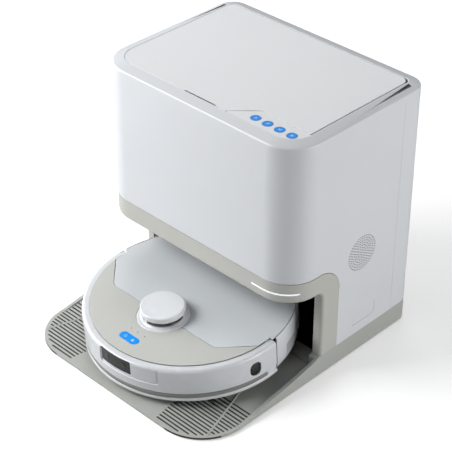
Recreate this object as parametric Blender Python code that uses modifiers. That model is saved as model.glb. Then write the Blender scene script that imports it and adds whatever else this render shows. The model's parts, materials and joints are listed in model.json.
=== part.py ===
"""Robot vacuum and mop parked in its washing and emptying station.

Metres, +Z up, the station's front towards -Y, standing on z = 0.  Station pieces hang on the
empty station_frame, whose y = 0 is the cabinet's front plane.  Robot pieces hang on the empty
robot_frame, whose z = 0 is the lower lip of the bumper and whose front is also towards -Y.
"""
import math

import bmesh
import bpy
from mathutils import Matrix, Vector

# ---------------------------------------------------------------- station, driving dimensions
WIDTH = 0.412               # cabinet and ramp, across
CABINET_DEPTH = 0.299       # cabinet front plane to its back
RAMP_REACH = 0.184          # ramp ahead of the cabinet front plane
HEIGHT = 0.4386
FRONT_CORNER = 0.057        # vertical corner radii of the cabinet, seen from above
REAR_CORNER = 0.030
RAMP_CORNER = 0.081
WALL = 0.003                # cabinet shell
SEAM = 0.0004               # gap at every visible seam
GAP = 0.0003                # gap between pieces that touch

PLINTH_TOP = 0.038          # the ramp moulding carries the cabinet at this height
PLATE_THICK = 0.005         # flat front of the ramp
FLAT_LENGTH = 0.084         # of the plate, before the ramp rises
NICHE_FLOOR = 0.0205        # top of the ramp at the niche mouth
FLOOR_END = 0.0995          # where the ramp ends and the black liner starts
RAIL_WIDTH = 0.006          # raised edge along both sides of the ramp

TRIM_LOW = 0.162            # underside of the trim that frames the niche
TRIM_TOP = 0.1968
TRIM_DEPTH = 0.0165         # thickness of the trim's band and pillars
PILLAR_FRONT = 0.0746
LEFT_PILLAR_FRONT = 0.0912  # the left pillar starts further back than the right one
PILLAR_BACK = 0.1115
PILLAR_RADIUS = 0.047       # outer bend from band to pillar
ARCH_RADIUS = 0.014         # inner bend from band to pillar
REAR_SEAM = 0.2443          # parting line between shell and rear cover

LINER_WALL = 0.002
LINER_BACK = 0.205
LINER_FLOOR = 0.016

RIM_SLOPE = 0.0185          # width of the sloped strip round the top
RIM_DROP = 0.0046           # and how far it falls
RIM_DEPTH = 0.012
OPENING_INSET = 0.0195      # cabinet edge to the lid opening
LEDGE = 0.005               # inner ledge that lid and panel rest on
LID_THICK = 0.005
BUTTON_CORNER = 0.0185      # last button's middle, in from the lid opening's right edge
BUTTON_PITCH = 0.0235
BUTTON_FIRST = WIDTH / 2 - OPENING_INSET - BUTTON_CORNER - 3 * BUTTON_PITCH
BUTTON_Y = OPENING_INSET + 0.017
PANEL_LEFT = BUTTON_FIRST - 0.0455      # left end of the control panel along the front
PANEL_BACK = OPENING_INSET + 0.037
BUTTON_RADIUS = 0.0080
BUTTON_TRAVEL = 0.0012
BUTTON_DEPTH = 0.0040
PIN_RADIUS = 0.0012
PIN_SETBACK = 0.0100        # hinge pin ahead of the lid's rear edge, level with the corners' centres
REAR_SWING = 0.0010         # gap behind the lid, for its rear edge to turn through
SWING_ROOM = 0.0150         # of ledge left out at the back, for the same edge
NOTCH_WIDTH = 0.060         # finger notch in the lid's front edge
NOTCH_DEPTH = 0.0022

BAG_WALL, BAG_MOUTH = 0.004, 0.020

VENT_Y, VENT_Z, VENT_RADIUS = 0.1624, 0.1919, 0.032
HATCH_Y, HATCH_Z = 0.1755, 0.0685
HATCH_LENGTH, HATCH_HEIGHT, HATCH_RADIUS = 0.051, 0.025, 0.008
LIGHT_Z, LIGHT_HEIGHT, LIGHT_DEPTH = 0.1787, 0.0026, 0.003
LIGHT_START, LIGHT_END = 0.126, 0.030
INLET_X, INLET_Z, INLET_WIDTH, INLET_HEIGHT = 0.135, 0.060, 0.024, 0.018

# ---------------------------------------------------------------- robot, driving dimensions
ROBOT_RADIUS = 0.175        # at the bumper's lower lip
ROBOT_Y = 0.0               # robot centre under the cabinet's front plane
LIP_Z = 0.0268              # lip above the floor at the robot's centre
TILT = math.radians(4.0)    # nose down, resting on the ramp
DECK_Z = 0.0625             # top deck above the lip
CLEARANCE = 0.013           # lip above the ground the wheels stand on
COVER_THICK = 0.0016
BODY_WALL = 0.0027
BUMPER_WALL = 0.003
BUMPER_TRAVEL = 0.004
BUMPER_END = 0.011          # bumper's ends behind the robot's centre line
DECK_RADIUS = 0.162         # seam between deck panel and bumper
COVER_RADIUS = 0.1675       # rear edge of the top cover
BODY_RADIUS = 0.171         # rear side wall
COVER_FRONT = -0.0627       # straight front edge of the top cover
COVER_KNEE = 0.1145         # half width of that edge, to where it turns back
COVER_BEND = 0.018
COVER_TIP = math.radians(-5.7)
COVER_TRAVEL = 0.035

LIDAR_Y = -0.0605
LIDAR_SKIRT = 0.0425
LIDAR_CAP = 0.036
LIDAR_TOP = 0.083
LIDAR_WINDOW_LOW, LIDAR_WINDOW_TOP = 0.0665, 0.0735
LIDAR_ROTOR = 0.029
CAP_TRAVEL = 0.0015

PILL_Y, PILL_LENGTH, PILL_WIDTH = -0.133, 0.0376, 0.015
WINDOW_LEFT, WINDOW_RIGHT = -0.0226, 0.0382
WINDOW_LOW, WINDOW_TOP = 0.0335, 0.0583
SENSOR_ANGLE, SENSOR_Z = math.radians(-10.7), 0.0325
SENSOR_WIDTH, SENSOR_HEIGHT = 0.0195, 0.0255
STRIP_LOW, STRIP_TOP = 0.0058, 0.0142
STRIP_END = -0.0097

VENT_ANGLE, VENT_LENGTH = math.radians(22), 0.046
VENT_SLOTS, VENT_LOW, VENT_PITCH = 4, 0.0085, 0.0058

WHEEL_RADIUS, WHEEL_WIDTH = 0.034, 0.020
WHEEL_X, WHEEL_Y = 0.113, 0.005
TYRE_THICK = 0.006
ARM_WIDTH = 0.010
ARM_PIVOT = 0.050           # suspension pivot behind the robot's centre
CASTER_Y, CASTER_RADIUS, CASTER_WIDTH = -0.137, 0.013, 0.012
CASTER_GAP = 0.0009         # room for the tilted caster wheel to swivel over the ramp
ROLLER_Y, ROLLER_RADIUS, ROLLER_HALF = -0.055, 0.0215, 0.084
ROLLER_DROP = 0.0085        # roller brush below the lip
SIDE_BRUSH_X, SIDE_BRUSH_Y, SIDE_BRUSH_REACH = 0.110, -0.105, 0.042
MOP_X, MOP_Y, MOP_RADIUS = 0.062, 0.092, 0.056
MOP_DROP = 0.010
ROUND_STEPS = 64            # facets round the robot
CHASSIS_RADIUS = 0.165
CHASSIS_LOW, CHASSIS_THICK = 0.0012, 0.003
INNER_RADIUS = 0.150        # upright wall of the chassis, inside the bumper

FRONT_Y = (RAMP_REACH - CABINET_DEPTH) / 2
HALF = WIDTH / 2
DEPTH = CABINET_DEPTH
FOOT_RADIUS, FOOT_THICK = 0.008, 0.0015
FOOT_PLACES = [(-HALF + 0.045, -RAMP_REACH + 0.050), (HALF - 0.045, -RAMP_REACH + 0.050),
               (-HALF + 0.045, DEPTH - 0.045), (HALF - 0.045, DEPTH - 0.045)]

# ---------------------------------------------------------------- finishes: colour, roughness, metal
FINISHES = {
    "white_abs": ((0.70, 0.73, 0.76), 0.35, 0.0),
    "grey_abs": ((0.38, 0.38, 0.36), 0.50, 0.0),
    "taupe_abs": ((0.52, 0.51, 0.48), 0.45, 0.0),
    "black_abs": ((0.012, 0.012, 0.013), 0.55, 0.0),
    "cool_cover": ((0.60, 0.64, 0.67), 0.35, 0.0),
    "warm_deck": ((0.54, 0.55, 0.52), 0.40, 0.0),
    "smoked_window": ((0.03, 0.03, 0.035), 0.15, 0.0),
    "blue_button": ((0.01, 0.26, 0.78), 0.30, 0.0),
    "lit_diffuser": ((0.95, 0.96, 1.0), 0.25, 0.0),
    "rubber": ((0.03, 0.03, 0.03), 0.75, 0.0),
    "soft_strip": ((0.26, 0.26, 0.25), 0.45, 0.2),
    "clear_tank": ((0.35, 0.40, 0.44), 0.15, 0.0),
    "gold_contact": ((0.85, 0.62, 0.28), 0.25, 1.0),
    "mop_cloth": ((0.30, 0.33, 0.38), 0.95, 0.0),
    "filter_paper": ((0.80, 0.77, 0.68), 0.90, 0.0),
}


# ---------------------------------------------------------------- scene helpers
def clear_scene():
    for obj in list(bpy.data.objects):
        bpy.data.objects.remove(obj, do_unlink=True)


def collection(name):
    group = bpy.data.collections.new(name)
    bpy.context.scene.collection.children.link(group)
    return group


def finish_material(name):
    if name in bpy.data.materials:
        return bpy.data.materials[name]
    colour, roughness, metallic = FINISHES[name]
    material = bpy.data.materials.new(name)
    material.use_nodes = True
    shader = material.node_tree.nodes["Principled BSDF"]
    shader.inputs["Base Color"].default_value = (*colour, 1.0)
    shader.inputs["Roughness"].default_value = roughness
    shader.inputs["Metallic"].default_value = metallic
    return material


def empty(name, place, turn=(0, 0, 0), parent=None):
    frame = bpy.data.objects.new(name, None)
    PARTS.objects.link(frame)
    frame.location = place
    frame.rotation_euler = turn
    frame.parent = parent
    return frame


def place_mesh(name, mesh, frame, finish=None, origin=(0, 0, 0), turn=(0, 0, 0)):
    """A mesh drawn round its own origin becomes a named part, or a cutter if it has no finish."""
    obj = bpy.data.objects.new(name, mesh)
    obj.parent = frame
    obj.location = origin
    obj.rotation_euler = turn
    if finish:
        PARTS.objects.link(obj)
        mesh.materials.append(finish_material(finish))
    else:
        CUTTERS.objects.link(obj)
        obj.hide_render = True
        obj.display_type = "WIRE"
    return obj


def smooth(obj, angle=35):
    obj.data.shade_smooth()
    obj.data.set_sharp_from_angle(angle=math.radians(angle))
    return obj


def cut(obj, cutter, operation="DIFFERENCE"):
    modifier = obj.modifiers.new(operation.lower() + "_" + cutter.name, "BOOLEAN")
    modifier.operation = operation
    modifier.solver = "EXACT"
    modifier.object = cutter
    return obj


def bevel(obj, width, segments=2, angle=50):
    modifier = obj.modifiers.new("edges", "BEVEL")
    modifier.width = width
    modifier.segments = segments
    modifier.limit_method = "ANGLE"
    modifier.angle_limit = math.radians(angle)
    modifier.use_clamp_overlap = True
    return obj


# ---------------------------------------------------------------- shape helpers
def arc(cx, cy, radius, start, end, steps):
    """Points on an arc, angles in radians."""
    angles = [start + (end - start) * i / steps for i in range(steps + 1)]
    return [(cx + radius * math.cos(a), cy + radius * math.sin(a)) for a in angles]


def circle(cx, cy, radius, steps=32):
    return arc(cx, cy, radius, 0, 2 * math.pi, steps)[:-1]


def filleted(corners, steps=8):
    """A closed outline from (x, y, radius) corners, each rounded to its radius."""
    points = []
    count = len(corners)
    for i, (x, y, radius) in enumerate(corners):
        here = Vector((x, y))
        if radius <= 0:
            points.append((x, y))
            continue
        back = (Vector(corners[i - 1][:2]) - here).normalized()
        ahead = (Vector(corners[(i + 1) % count][:2]) - here).normalized()
        half = back.angle(ahead) / 2
        centre = here + (back + ahead).normalized() * radius / math.sin(half)
        first = here + back * radius / math.tan(half) - centre
        last = here + ahead * radius / math.tan(half) - centre
        start = math.atan2(first.y, first.x)
        sweep = math.atan2(last.y, last.x) - start
        sweep = (sweep + math.pi) % (2 * math.pi) - math.pi
        points += arc(centre.x, centre.y, radius, start, start + sweep, steps)
    return points


def rectangle(x0, y0, x1, y1, radius=0.0, steps=6):
    return filleted([(x0, y0, radius), (x1, y0, radius), (x1, y1, radius), (x0, y1, radius)], steps)


def outline_mesh(name, loops, low, high):
    """Flat outline, with later loops as holes, extruded from z = low to z = high."""
    curve = bpy.data.curves.new(name, "CURVE")
    curve.dimensions = "2D"
    curve.fill_mode = "BOTH"
    curve.extrude = (high - low) / 2
    for loop in loops:
        spline = curve.splines.new("POLY")
        spline.points.add(len(loop) - 1)
        for point, (x, y) in zip(spline.points, loop):
            point.co = (x, y, 0, 1)
        spline.use_cyclic_u = True
    drawing = bpy.data.objects.new(name + "_outline", curve)
    bpy.context.scene.collection.objects.link(drawing)
    bpy.context.view_layer.update()
    graph = bpy.context.evaluated_depsgraph_get()
    mesh = bpy.data.meshes.new_from_object(drawing.evaluated_get(graph))
    bpy.data.objects.remove(drawing, do_unlink=True)
    bpy.data.curves.remove(curve)
    mesh.name = name
    bm = bmesh.new()
    bm.from_mesh(mesh)
    bmesh.ops.remove_doubles(bm, verts=bm.verts, dist=0.00002)
    bmesh.ops.translate(bm, verts=bm.verts, vec=(0, 0, (low + high) / 2))
    bmesh.ops.recalc_face_normals(bm, faces=bm.faces)
    bm.to_mesh(mesh)
    bm.free()
    mesh.materials.clear()
    return mesh


def plate(name, loops, low, high, frame, finish=None, **where):
    return place_mesh(name, outline_mesh(name, loops, low, high), frame, finish, **where)


def side_prism(name, profile, half_width, frame, finish=None, shift=0.0):
    """A (y, z) side profile extruded across X."""
    mesh = outline_mesh(name, [profile], shift - half_width, shift + half_width)
    mesh.transform(Matrix(((0, 0, 1, 0), (1, 0, 0, 0), (0, 1, 0, 0), (0, 0, 0, 1))))
    return place_mesh(name, mesh, frame, finish)


def box_mesh(name, boxes):
    """Closed boxes, each given by its low and high corner."""
    bm = bmesh.new()
    for low, high in boxes:
        low, high = Vector(low), Vector(high)
        size = high - low
        where = Matrix.Translation((low + high) / 2) @ Matrix.Diagonal((*size, 1))
        bmesh.ops.create_cube(bm, size=1, matrix=where)
    mesh = bpy.data.meshes.new(name)
    bm.to_mesh(mesh)
    bm.free()
    return mesh


def box(name, low, high, frame, finish=None, **where):
    return place_mesh(name, box_mesh(name, [(low, high)]), frame, finish, **where)


def cylinder_mesh(name, radius, low, high, axis="Z", segments=32, top_radius=None):
    turn = {"X": Matrix.Rotation(math.pi / 2, 4, "Y"), "Y": Matrix.Rotation(-math.pi / 2, 4, "X"),
            "Z": Matrix.Identity(4)}[axis]
    bm = bmesh.new()
    bmesh.ops.create_cone(bm, cap_ends=True, segments=segments, radius1=radius,
                          radius2=radius if top_radius is None else top_radius, depth=high - low,
                          matrix=turn @ Matrix.Translation((0, 0, (low + high) / 2)))
    mesh = bpy.data.meshes.new(name)
    bm.to_mesh(mesh)
    bm.free()
    return mesh


def cylinder(name, radius, low, high, frame, finish=None, axis="Z", segments=32, **where):
    return place_mesh(name, cylinder_mesh(name, radius, low, high, axis, segments), frame, finish, **where)


def turned(name, profile, frame, finish=None, steps=48, closed=False, **where):
    """A turned shape: (radius, z) points down the outer side, spun round Z."""
    mesh = bpy.data.meshes.new(name)
    bm = bmesh.new()
    verts = [bm.verts.new((r, 0, z)) for r, z in profile]
    for a, b in zip(verts, verts[1:]):
        bm.edges.new((a, b))
    if closed:
        bm.edges.new((verts[-1], verts[0]))
    bm.to_mesh(mesh)
    bm.free()
    obj = place_mesh(name, mesh, frame, finish, **where)
    screw = obj.modifiers.new("turn", "SCREW")
    screw.steps = steps
    screw.render_steps = steps
    screw.use_merge_vertices = True
    screw.merge_threshold = 0.00001
    screw.use_smooth_shade = False
    return obj


def join_shapes(target, name, mesh, frame, **where):
    """Unites a further shape with a part."""
    return cut(target, place_mesh(name, mesh, frame, None, **where), "UNION")


# ---------------------------------------------------------------- station outlines
def cabinet_outline(inset=0.0, steps=8):
    """The cabinet seen from above, moved inwards by inset."""
    front = max(FRONT_CORNER - inset, 0.002)
    rear = max(REAR_CORNER - inset, 0.002)
    x = HALF - inset
    return filleted([(-x, inset, front), (x, inset, front), (x, DEPTH - inset, rear),
                     (-x, DEPTH - inset, rear)], steps)


def floor_height(y):
    """Top of the ramp between its rails."""
    foot = -RAMP_REACH + FLAT_LENGTH
    if y <= foot:
        return PLATE_THICK
    return PLATE_THICK + (NICHE_FLOOR - PLATE_THICK) * (y - foot) / (FLOOR_END - foot)


def wheel_bottom():
    """Height of the parked drive wheels' lowest point."""
    centre = LIP_Z + WHEEL_Y * math.sin(TILT) + axle_z() * math.cos(TILT)
    return centre - WHEEL_RADIUS


def caster_z():
    """Caster axle above the lip: its sprung strut stands it on the flat of the ramp."""
    return (PLATE_THICK + CASTER_GAP + CASTER_RADIUS - LIP_Z - CASTER_Y * math.sin(TILT)) / math.cos(TILT)


def base_plate():
    """Ramp, rails and plinth in one moulding, with pockets for the liner and the machinery."""
    outline = filleted([(-HALF, -RAMP_REACH, RAMP_CORNER), (HALF, -RAMP_REACH, RAMP_CORNER),
                        (HALF, DEPTH, REAR_CORNER), (-HALF, DEPTH, REAR_CORNER)], 12)
    base = plate("base_plate", [outline], 0.0, PLINTH_TOP, STATION, "grey_abs")
    foot = -RAMP_REACH + FLAT_LENGTH
    above = 2 * PLINTH_TOP
    rail = [(-RAMP_REACH - 0.02, PLATE_THICK), (foot, PLATE_THICK + 0.0004),
            (foot + 0.040, 0.0112), (foot + 0.083, 0.0185), (foot + 0.128, 0.0260),
            (foot + 0.158, 0.0325), (PILLAR_FRONT, PLINTH_TOP), (PILLAR_FRONT, above),
            (-RAMP_REACH - 0.02, above)]
    cut(base, side_prism("ramp_sides_cut", rail, HALF + 0.01, STATION))
    floor = [(foot - 0.01, PLATE_THICK), (foot, PLATE_THICK), (FLOOR_END, NICHE_FLOOR),
             (FLOOR_END, above), (foot - 0.01, above)]
    cut(base, side_prism("floor_cut", floor, HALF - TRIM_DEPTH - SEAM, STATION))
    ahead = PILLAR_FRONT - 0.008
    run = [(foot - 0.01, PLATE_THICK), (foot, PLATE_THICK), (ahead, floor_height(ahead)),
           (ahead, above), (foot - 0.01, above)]
    cut(base, side_prism("rail_cut", run, HALF - RAIL_WIDTH, STATION))
    side = HALF - TRIM_DEPTH - SEAM
    pockets = [((-side - GAP, FLOOR_END - 0.004, LINER_FLOOR - GAP), (side + GAP, LINER_BACK + GAP, above)),
               ((-side, LINER_BACK + 0.004, 0.006), (side, DEPTH - 0.008, above))]
    cut(base, place_mesh("base_pockets", box_mesh("base_pockets", pockets), STATION))
    track = wheel_bottom() - 2 * GAP
    tracks = []
    for x in (-WHEEL_X, WHEEL_X):
        half = WHEEL_WIDTH / 2 + 0.004
        tracks.append(((x - half, WHEEL_Y - 0.030, track), (x + half, WHEEL_Y + 0.045, above)))
    cut(base, place_mesh("wheel_tracks", box_mesh("wheel_tracks", tracks), STATION))
    recess = bmesh.new()
    for x, y in FOOT_PLACES:
        bmesh.ops.create_cone(recess, cap_ends=True, segments=24, radius1=FOOT_RADIUS + GAP,
                              radius2=FOOT_RADIUS + GAP, depth=2 * (FOOT_THICK + GAP),
                              matrix=Matrix.Translation((x, y, 0)))
    mesh = bpy.data.meshes.new("foot_recesses")
    recess.to_mesh(mesh)
    recess.free()
    cut(base, place_mesh("foot_recesses", mesh, STATION))


def feet():
    names = ("foot_front_left", "foot_front_right", "foot_rear_left", "foot_rear_right")
    for name, (x, y) in zip(names, FOOT_PLACES):
        cylinder(name, FOOT_RADIUS, 0.0, FOOT_THICK, STATION, "rubber", segments=24, origin=(x, y, 0))


def trim_profile(pillar_front=PILLAR_FRONT):
    """Side view of the trim: the band over the niche and the pillar behind it."""
    ahead = -0.02
    return filleted([(ahead, TRIM_LOW, 0), (pillar_front, TRIM_LOW, ARCH_RADIUS),
                     (pillar_front, PLINTH_TOP + GAP, 0), (PILLAR_BACK, PLINTH_TOP + GAP, 0),
                     (PILLAR_BACK, TRIM_TOP, PILLAR_RADIUS), (ahead, TRIM_TOP, 0)], 8)


def front_trim():
    trim = plate("front_trim", [cabinet_outline(), cabinet_outline(TRIM_DEPTH)], PLINTH_TOP - 0.01,
                 TRIM_TOP + 0.02, STATION, "taupe_abs")
    cut(trim, side_prism("trim_side_view", trim_profile(), HALF + 0.01, STATION), "INTERSECT")
    setback = box("left_pillar_setback", (-HALF - 0.01, PILLAR_FRONT - ARCH_RADIUS, PLINTH_TOP - 0.02),
                  (0, LEFT_PILLAR_FRONT + 0.02, TRIM_LOW + 0.001), STATION)
    cut(trim, cut(setback, side_prism("left_pillar_view", trim_profile(LEFT_PILLAR_FRONT), HALF + 0.02, STATION)))
    groove = plate("light_groove", [cabinet_outline(-0.01), cabinet_outline(LIGHT_DEPTH + GAP)],
                   LIGHT_Z - LIGHT_HEIGHT / 2 - GAP, LIGHT_Z + LIGHT_HEIGHT / 2 + GAP, STATION)
    cut(groove, light_zone("light_groove_zone", GAP), "INTERSECT")
    cut(trim, groove)
    smooth(trim)


def light_zone(name, grow):
    return box(name, (LIGHT_START - grow, -0.02, 0.1), (HALF + 0.02, LIGHT_END + grow, 0.3), STATION)


def light_strip():
    strip = plate("light_strip", [cabinet_outline(0.0002), cabinet_outline(LIGHT_DEPTH)],
                  LIGHT_Z - LIGHT_HEIGHT / 2, LIGHT_Z + LIGHT_HEIGHT / 2, STATION, "lit_diffuser")
    cut(strip, light_zone("light_zone", 0.0), "INTERSECT")


def cabinet_shell():
    """White front and sides, open at the back, the top and the underside."""
    shell = plate("cabinet_shell", [cabinet_outline(), cabinet_outline(WALL)], PLINTH_TOP + GAP,
                  HEIGHT - RIM_DEPTH - GAP, STATION, "white_abs")
    below = filleted([(-0.03, 0.0, 0), (PILLAR_BACK + SEAM, 0.0, 0),
                      (PILLAR_BACK + SEAM, TRIM_TOP + SEAM, PILLAR_RADIUS + SEAM),
                      (-0.03, TRIM_TOP + SEAM, 0)], 8)
    cut(shell, side_prism("shell_niche_cut", below, HALF + 0.01, STATION))
    cut(shell, box("shell_back_cut", (-HALF - 0.01, REAR_SEAM, 0), (HALF + 0.01, DEPTH + 0.01, HEIGHT + 0.01),
                   STATION))
    cut(shell, place_mesh("vent_hole", cylinder_mesh("vent_hole", VENT_RADIUS + GAP, HALF - 0.02, HALF + 0.01,
                                                     "X", 40), STATION, origin=(0, VENT_Y, VENT_Z)))
    cut(shell, hatch_prism("hatch_hole", GAP, HALF - 0.02, HALF + 0.01))
    smooth(shell)


def hatch_prism(name, grow, inner, outer, finish=None):
    """The hatch in the right wall: two of its corners are rounded, two are square."""
    y0, y1 = HATCH_Y - HATCH_LENGTH / 2 - grow, HATCH_Y + HATCH_LENGTH / 2 + grow
    z0, z1 = HATCH_Z - HATCH_HEIGHT / 2 - grow, HATCH_Z + HATCH_HEIGHT / 2 + grow
    profile = filleted([(y0, z0, 0), (y1, z0, HATCH_RADIUS), (y1, z1, 0), (y0, z1, HATCH_RADIUS)], 6)
    return side_prism(name, profile, (outer - inner) / 2, STATION, finish, (outer + inner) / 2)


def side_fittings():
    hatch_prism("side_hatch", 0.0, HALF - WALL, HALF - 0.0001, "white_abs")
    smooth(cylinder("vent_grille", VENT_RADIUS, HALF - WALL, HALF - 0.0001, STATION, "white_abs", "X", 40,
                    origin=(0, VENT_Y, VENT_Z)))
    fan = cylinder("drying_fan", 0.008, 0.0, 0.010, STATION, "black_abs", "X", 20,
                   origin=(HALF - WALL - 0.014, VENT_Y, VENT_Z))
    reach = VENT_Z - (TRIM_LOW + 0.005 + LINER_WALL) - 0.002      # clear of the liner's ceiling
    for i in range(7):
        blade = box_mesh(f"fan_blade_{i}", [((0.001, -0.0012, 0.006), (0.009, 0.0012, reach))])
        join_shapes(fan, f"fan_blade_{i}", blade, STATION, origin=fan.location,
                    turn=(2 * math.pi * i / 7, 0, 0))


def rear_cover():
    cover = plate("rear_cover", [cabinet_outline(), cabinet_outline(WALL)], PLINTH_TOP + GAP,
                  HEIGHT - RIM_DEPTH - GAP, STATION, "white_abs")
    cut(cover, box("cover_front_cut", (-HALF - 0.01, -0.01, 0), (HALF + 0.01, REAR_SEAM + SEAM, HEIGHT + 0.01),
                   STATION))
    cut(cover, box("inlet_hole", (INLET_X - INLET_WIDTH / 2 - GAP, DEPTH - 0.02, INLET_Z - INLET_HEIGHT / 2 - GAP),
                   (INLET_X + INLET_WIDTH / 2 + GAP, DEPTH + 0.01, INLET_Z + INLET_HEIGHT / 2 + GAP), STATION))
    slots = [((x - 0.0015, DEPTH - 0.02, 0.075), (x + 0.0015, DEPTH + 0.01, 0.115))
             for x in (-0.16 + 0.010 * i for i in range(9))]
    cut(cover, place_mesh("exhaust_slots", box_mesh("exhaust_slots", slots), STATION))
    smooth(cover)


def power_inlet():
    inlet = box("power_inlet", (-INLET_WIDTH / 2, -0.022, -INLET_HEIGHT / 2),
                (INLET_WIDTH / 2, -0.0006, INLET_HEIGHT / 2), STATION, "black_abs",
                origin=(INLET_X, DEPTH, INLET_Z))
    socket = box("inlet_socket", (-INLET_WIDTH / 2 + 0.003, -0.016, -INLET_HEIGHT / 2 + 0.003),
                 (INLET_WIDTH / 2 - 0.003, 0.01, INLET_HEIGHT / 2 - 0.003), STATION,
                 origin=(INLET_X, DEPTH, INLET_Z))
    cut(inlet, socket)


def niche_liner():
    side = HALF - TRIM_DEPTH - SEAM
    ceiling = TRIM_LOW + 0.005
    liner = plate("niche_liner", [cabinet_outline(TRIM_DEPTH + SEAM)], LINER_FLOOR, ceiling + LINER_WALL,
                  STATION, "black_abs")
    cut(liner, box("liner_back_cut", (-HALF, LINER_BACK, 0), (HALF, DEPTH, HEIGHT), STATION))
    inside = box("liner_inside", (-side + LINER_WALL, -0.05, LINER_FLOOR + LINER_WALL),
                 (side - LINER_WALL, LINER_BACK - LINER_WALL, ceiling), STATION)
    mouth = box("liner_mouth", (-HALF, -0.05, 0), (HALF, FLOOR_END + SEAM, ceiling), STATION)
    cut(cut(liner, inside), mouth)


def wash_tray():
    """Ribbed tray that the mop pads are scrubbed on."""
    top = 0.0225
    low = LINER_FLOOR + LINER_WALL + GAP
    ribs = [((x - 0.0012, 0.112, top - 0.001), (x + 0.0012, 0.190, top + 0.0012))
            for x in (-0.126 + 0.018 * i for i in range(15))]
    tray = box("wash_tray", (-0.150, 0.104, low), (0.150, 0.198, top), STATION, "grey_abs")
    for i, (a, b) in enumerate(ribs):
        join_shapes(tray, f"tray_rib_{i}", box_mesh(f"tray_rib_{i}", [(a, b)]), STATION)


def charge_contacts():
    for name, x in (("charge_contact_left", -0.045), ("charge_contact_right", 0.045)):
        contact = box(name, (-0.011, -0.0050, -0.003), (0.011, 0, 0.003), STATION, "gold_contact",
                      origin=(x, LINER_BACK - LINER_WALL - GAP, 0.060))
        bevel(contact, 0.0015)


def panel_cutter(name, grow):
    step = PANEL_BACK - OPENING_INSET
    left = PANEL_LEFT - grow * 0.4142
    region = [(left - 0.03, OPENING_INSET - 0.03), (HALF, OPENING_INSET - 0.03), (HALF, PANEL_BACK + grow),
              (left + step, PANEL_BACK + grow)]
    return plate(name, [region], HEIGHT - 0.03, HEIGHT + 0.03, STATION)


def top_rim():
    """Frame round the top: a sloped strip outside, a ledge for lid and panel inside."""
    mesh = outline_mesh("top_rim", [cabinet_outline()], HEIGHT - RIM_DEPTH, HEIGHT - RIM_DROP)
    bm = bmesh.new()
    bm.from_mesh(mesh)
    top = [f for f in bm.faces if f.normal.z > 0.9]
    bmesh.ops.dissolve_faces(bm, faces=top)
    top = [f for f in bm.faces if f.normal.z > 0.9]
    bmesh.ops.inset_region(bm, faces=top, thickness=RIM_SLOPE, depth=RIM_DROP, use_even_offset=True)
    bm.to_mesh(mesh)
    bm.free()
    rim = place_mesh("top_rim", mesh, STATION, "white_abs")
    ledge_z = HEIGHT - LID_THICK - GAP - 0.0004
    cut(rim, plate("rim_recess", [cabinet_outline(OPENING_INSET)], ledge_z, HEIGHT + 0.01, STATION))
    cut(rim, plate("rim_opening", [cabinet_outline(OPENING_INSET + LEDGE)], HEIGHT - 0.03, HEIGHT + 0.01,
                   STATION))
    inset = OPENING_INSET - GAP      # a little behind the opening's walls
    side, back, turn = HALF - inset, DEPTH - inset, REAR_CORNER - inset
    swing = [(-side, back - SWING_ROOM, 0), (side, back - SWING_ROOM, 0), (side, back, turn), (-side, back, turn)]
    cut(rim, plate("rim_swing_cut", [filleted(swing)], 0, ledge_z + 0.001, STATION))
    cut(rim, pin_bores("rim_pin_bores", HALF - 0.0150))
    smooth(rim, 20)


def lid_axis():
    return DEPTH - OPENING_INSET - REAR_SWING - PIN_SETBACK, HEIGHT - LID_THICK / 2


def pin_bores(name, reach):
    y, z = lid_axis()
    return place_mesh(name, cylinder_mesh(name, PIN_RADIUS + GAP, -reach, reach, "X", 16), STATION,
                      origin=(0, y, z))


def lid():
    y, z = lid_axis()
    edge = OPENING_INSET + SEAM
    panel = outline_mesh("lid", [cabinet_outline(edge)], HEIGHT - LID_THICK, HEIGHT)
    panel.transform(Matrix.Translation((0, -y, -z)))
    cover = place_mesh("lid", panel, STATION, "white_abs", origin=(0, y, z))
    cut(cover, panel_cutter("lid_panel_corner", SEAM))
    cut(cover, box("lid_rear_trim", (-HALF, DEPTH - OPENING_INSET - REAR_SWING, 0), (HALF, DEPTH, HEIGHT + 0.01),
                   STATION))
    notch = [(-NOTCH_WIDTH / 2 - 0.003, edge - 0.005), (NOTCH_WIDTH / 2 + 0.003, edge - 0.005),
             (NOTCH_WIDTH / 2 + 0.0005, edge + NOTCH_DEPTH), (-NOTCH_WIDTH / 2 - 0.0005, edge + NOTCH_DEPTH)]
    cut(cover, plate("lid_notch", [notch], HEIGHT - 0.03, HEIGHT + 0.03, STATION))
    reach = HALF - 0.0160
    for name, sign in (("lid_pin_left", -1), ("lid_pin_right", 1)):
        ends = sorted((sign * (HALF - edge - 0.002), sign * reach))
        join_shapes(cover, name, cylinder_mesh(name, PIN_RADIUS, ends[0], ends[1], "X", 16), STATION,
                    origin=(0, y, z))


def control_panel():
    panel = plate("control_panel", [cabinet_outline(OPENING_INSET + SEAM)], HEIGHT - LID_THICK,
                  HEIGHT - 0.0004, STATION, "white_abs")
    cut(panel, panel_cutter("panel_shape", 0.0), "INTERSECT")
    holes = bmesh.new()
    for i in range(4):
        bmesh.ops.create_cone(holes, cap_ends=True, segments=24, radius1=BUTTON_RADIUS + GAP,
                              radius2=BUTTON_RADIUS + GAP, depth=0.03,
                              matrix=Matrix.Translation((BUTTON_FIRST + i * BUTTON_PITCH, BUTTON_Y, HEIGHT)))
    mesh = bpy.data.meshes.new("button_holes")
    holes.to_mesh(mesh)
    holes.free()
    cut(panel, place_mesh("button_holes", mesh, STATION))


def panel_buttons():
    names = ("wash_button", "empty_button", "play_button", "home_button")
    for i, name in enumerate(names):
        button = cylinder(name, BUTTON_RADIUS, -BUTTON_DEPTH, 0, STATION, "blue_button", "Z", 24,
                          origin=(BUTTON_FIRST + i * BUTTON_PITCH, BUTTON_Y, HEIGHT - 0.0002))
        smooth(button)


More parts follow.
